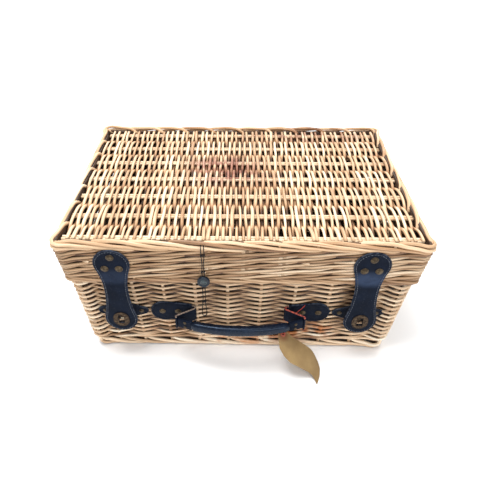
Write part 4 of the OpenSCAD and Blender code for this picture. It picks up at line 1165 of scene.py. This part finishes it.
path, out = bow_line(-15.55, 15.55, 61)
t = np.linspace(-1, 1, 61)
swell = 0.97 + 0.05 * (1 - t ** 2) - 0.16 * np.clip((np.abs(t) - 0.93) / 0.07, 0, 1) ** 2
grip_part = sweep(path, out, (0, 0, 1), section(11, 14, 4.6, 6), swell, tuck=1.6)
seam = Rods()
for a in np.arange(-14.8, 14.8, 0.95):
    short, outward = bow_line(a, a + 0.62, 5)
    sink = 5.65 - 0.5 * (np.linspace(-1, 1, 5)[:, None]) ** 2
    seam.add(short - outward * sink, 0.42, up=(0, 0, 1), sides=5)
grip = sewn_leather("handle_grip_leather", grip_part, seam, grip_leather)
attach(grip, "handle")
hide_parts("handle_grip")
caps = []
for side, name in SIDES:
    path, out = bow_line(side * 16.0, side * 20.55, 13)
    end = sweep(path, out, (0, 0, side), section(5, 15, 1.4), tuck=0.9)
    end = assemble("handle_end_leather_" + name, [end], [strap_leather])
    finish_piece(end, "handle", ("handle_end_" + name,))
    angle = side * math.asin(73 / BOW_R)
    outward = np.array([math.sin(angle), -math.cos(angle), 0])
    place = np.array([0, BOW_Y, LOCK_Z]) + outward * BOW_R
    for rise in (-4, 4):
        warp = plane(place + (0, 0, rise), np.cross((0, 0, 1), outward), (0, 0, 1))
        caps += rivet(warp, 0, 0, (2.2, 0.9), 2.7, (2.2, 0.9), 2.7, 16)
finish_piece(assemble("end_rivet_caps", caps, [rivet_brass]), "handle", ("handle_end_rivets",))

# ---------------------------------------------------------------- rear hinges
low_caps, high_caps = [], []
for side, name in SIDES:
    x = side * HINGE_X
    skin = [(lid_y(z) + 1.5, z) for z in (180, 172, 164, 156, 148, 143)]
    skin += [(lid_y(140) + 0.6, 138.5), (lid_y(140) - 4.2, 134.0), (body_y(128) + 3.4, 129.0)]
    skin += [(body_y(z) + 1.5, z) for z in (124, 118, 110, 103, 96)]
    line = spline([(x, yy, z) for yy, z in skin], 4)
    along = unit(np.gradient(line, axis=0))
    facing_out = np.cross(along, (-1, 0, 0))
    band = sweep(line, (1, 0, 0), facing_out, section(32, 2.6, 1.1, 4), tuck=1.0)
    sewn = Rods()
    run = lengths(line)
    for edge_x in (-13.4, 13.4):
        for s in np.arange(3, run[-1] - 4, 3.7):
            at = s + np.linspace(0, 2.5, 5)
            spot = np.stack([np.interp(at, run, line[:, c]) for c in range(3)], -1)
            normal = np.stack([np.interp(at, run, facing_out[:, c]) for c in range(3)], -1)
            spot = spot + normal * (1.6 - 0.5 * (np.linspace(-1, 1, 5)[:, None]) ** 2) + (edge_x, 0, 0)
            sewn.add(spot, 0.42, up=(1, 0, 0), sides=5)
    hinge = sewn_leather("hinge_leather_" + name, band, sewn, strap_leather)
    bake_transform(hinge)
    finish_piece(hinge, None, ("hinge_strap_" + name,))
    low = plane((x, body_y(112), 112), (-1, 0, 0), (0, math.sin(BODY_TILT), math.cos(BODY_TILT)))
    high = plane((x, lid_y(166), 166), (-1, 0, 0), (0, math.sin(LID_TILT), math.cos(LID_TILT)))
    for u in (-8, 8):
        low_caps += rivet(low, u, 0, (4.5, 1.8), 2.9, (4.0, 0.9), 12.2)
        high_caps += rivet(high, u, 0, (4.5, 1.8), 2.9, (4.0, 0.9), 8.2)
finish_piece(assemble("hinge_rivet_caps_body", low_caps, [rivet_brass]), "basket",
             ("hinge_rivets_body",))
finish_piece(assemble("hinge_rivet_caps_lid", high_caps, [rivet_brass]), "lid",
             ("hinge_rivets_lid",))

# ---------------------------------------------------------------- swing tag and string seal
lean, heading = math.radians(138), math.radians(-35)
turned = np.array(Matrix.Rotation(heading, 3, "Z") @ Matrix.Rotation(lean, 3, "Y"))
HOLE = np.array([58, -172, 63.0])


def on_tag(local):
    return HOLE + local @ turned.T


def card_warp(u, v, w):
    u, v, w = np.broadcast_arrays(*(np.asarray(c, float) for c in (u, v, w)))
    droop = 3.2 * np.clip((v - 62) / 26, 0, 1) ** 2
    reach = 90 - w
    return on_tag(np.stack([90 - reach * np.cos(u / 90) - droop, reach * np.sin(u / 90), v], -1))


card_outline = [(-9, -2), (-5, -7), (3, -7.5), (8, -1), (11.5, 14), (23.4, 34.4), (33.3, 50.2), (35, 56),
                (34.2, 63), (30.5, 72), (24, 79), (12, 84), (-1.5, 87.5), (2.2, 79), (2.6, 73), (0, 66),
                (-7, 53.5), (-16.1, 37), (-18.4, 24), (-17.5, 11.8)]
card_hole = arc((0, 0), 2.2, 0, 360, 20)[:-1]
card_sheet = Sheet(card_outline, (card_hole,), soft=0.35, cell=3.0, step=1.0)
card = assemble("swing_tag_card", [sheet_part(card_sheet, 0.8, card_warp, 0, 0.35)], [card_brown])
finish_piece(card, "tag", ("tag_card",))


def eyelet_warp(u, v, w):
    return on_tag(np.stack([-np.asarray(w, float), np.asarray(u, float), np.asarray(v, float)], -1))


ring = [(2.0, 0.12, 0), (2.1, 0.7, 0), (2.9, 0.95, 0), (4.0, 0.85, 0), (4.5, 0.4, 0), (4.4, 0.1, 0),
        (2.0, 0.1, 0)]
eyelet = assemble("swing_tag_eyelet", [lathe(ring, eyelet_warp, 0, 28)], [paper_red])
finish_piece(eyelet, "tag", ("tag_eyelet",))

disc_warp = plane((-47, SEAL_Y, 150), (1, 0, 0), (0, 0, 1))
disc = [(0, 2.0, 0), (4.6, 2.0, 0), (5.0, 1.7, 0), (5.4, 2.2, 0), (7.0, 2.3, 0), (7.8, 1.7, 0), (8.0, 0.6, 0),
        (8.0, -0.6, 0), (7.8, -1.7, 0), (7.0, -2.0, 0), (0, -2.0, 0)]
centre = [(0, 2.12, 0), (4.4, 2.12, 0), (4.6, 1.9, 0), (0, 1.8, 0)]
seal = assemble("seal_disc_moulded", [lathe(disc, disc_warp, 0, 36), lathe(centre, disc_warp, 1, 30)],
                [disc_dark, disc_centre])
finish_piece(seal, "seal", ("seal_disc",))

for node in ("slot_washer_left", "slot_washer_right"):
    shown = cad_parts[node]
    shown.data.materials.clear()
    shown.data.materials.append(lock_brass)

# ---------------------------------------------------------------- floor, world and lights
bpy.ops.mesh.primitive_plane_add(size=14, location=(0, 2, 0))
floor = bpy.context.object
floor.name = "floor"
floor_tone = Nodes("floor_white", (0.97, 0.97, 0.97), 0.8, specular=0.1)
floor.data.materials.append(floor_tone.material)
world = bpy.data.worlds.new("studio")
bpy.context.scene.world = world
world.use_nodes = True
world.node_tree.nodes["Background"].inputs["Color"].default_value = (1, 1, 1, 1)
world.node_tree.nodes["Background"].inputs["Strength"].default_value = 0.62


def softbox(name, place, towards, size, power):
    data = bpy.data.lights.new(name, "AREA")
    data.shape = "RECTANGLE"
    data.size, data.size_y = size
    data.energy = power
    obj = bpy.data.objects.new(name, data)
    bpy.context.scene.collection.objects.link(obj)
    obj.location = place
    obj.rotation_euler = (Vector(towards) - Vector(place)).to_track_quat("-Z", "Y").to_euler()


softbox("key", (-0.30, -0.25, 1.5), (0, 0, 0.1), (0.7, 0.5), 19)
softbox("front", (0.5, -1.5, 0.9), (0, 0, 0.1), (0.9, 0.6), 9)
softbox("backdrop", (0, 2.6, 2.2), (0, 2.4, 0), (4.5, 2.5), 150)
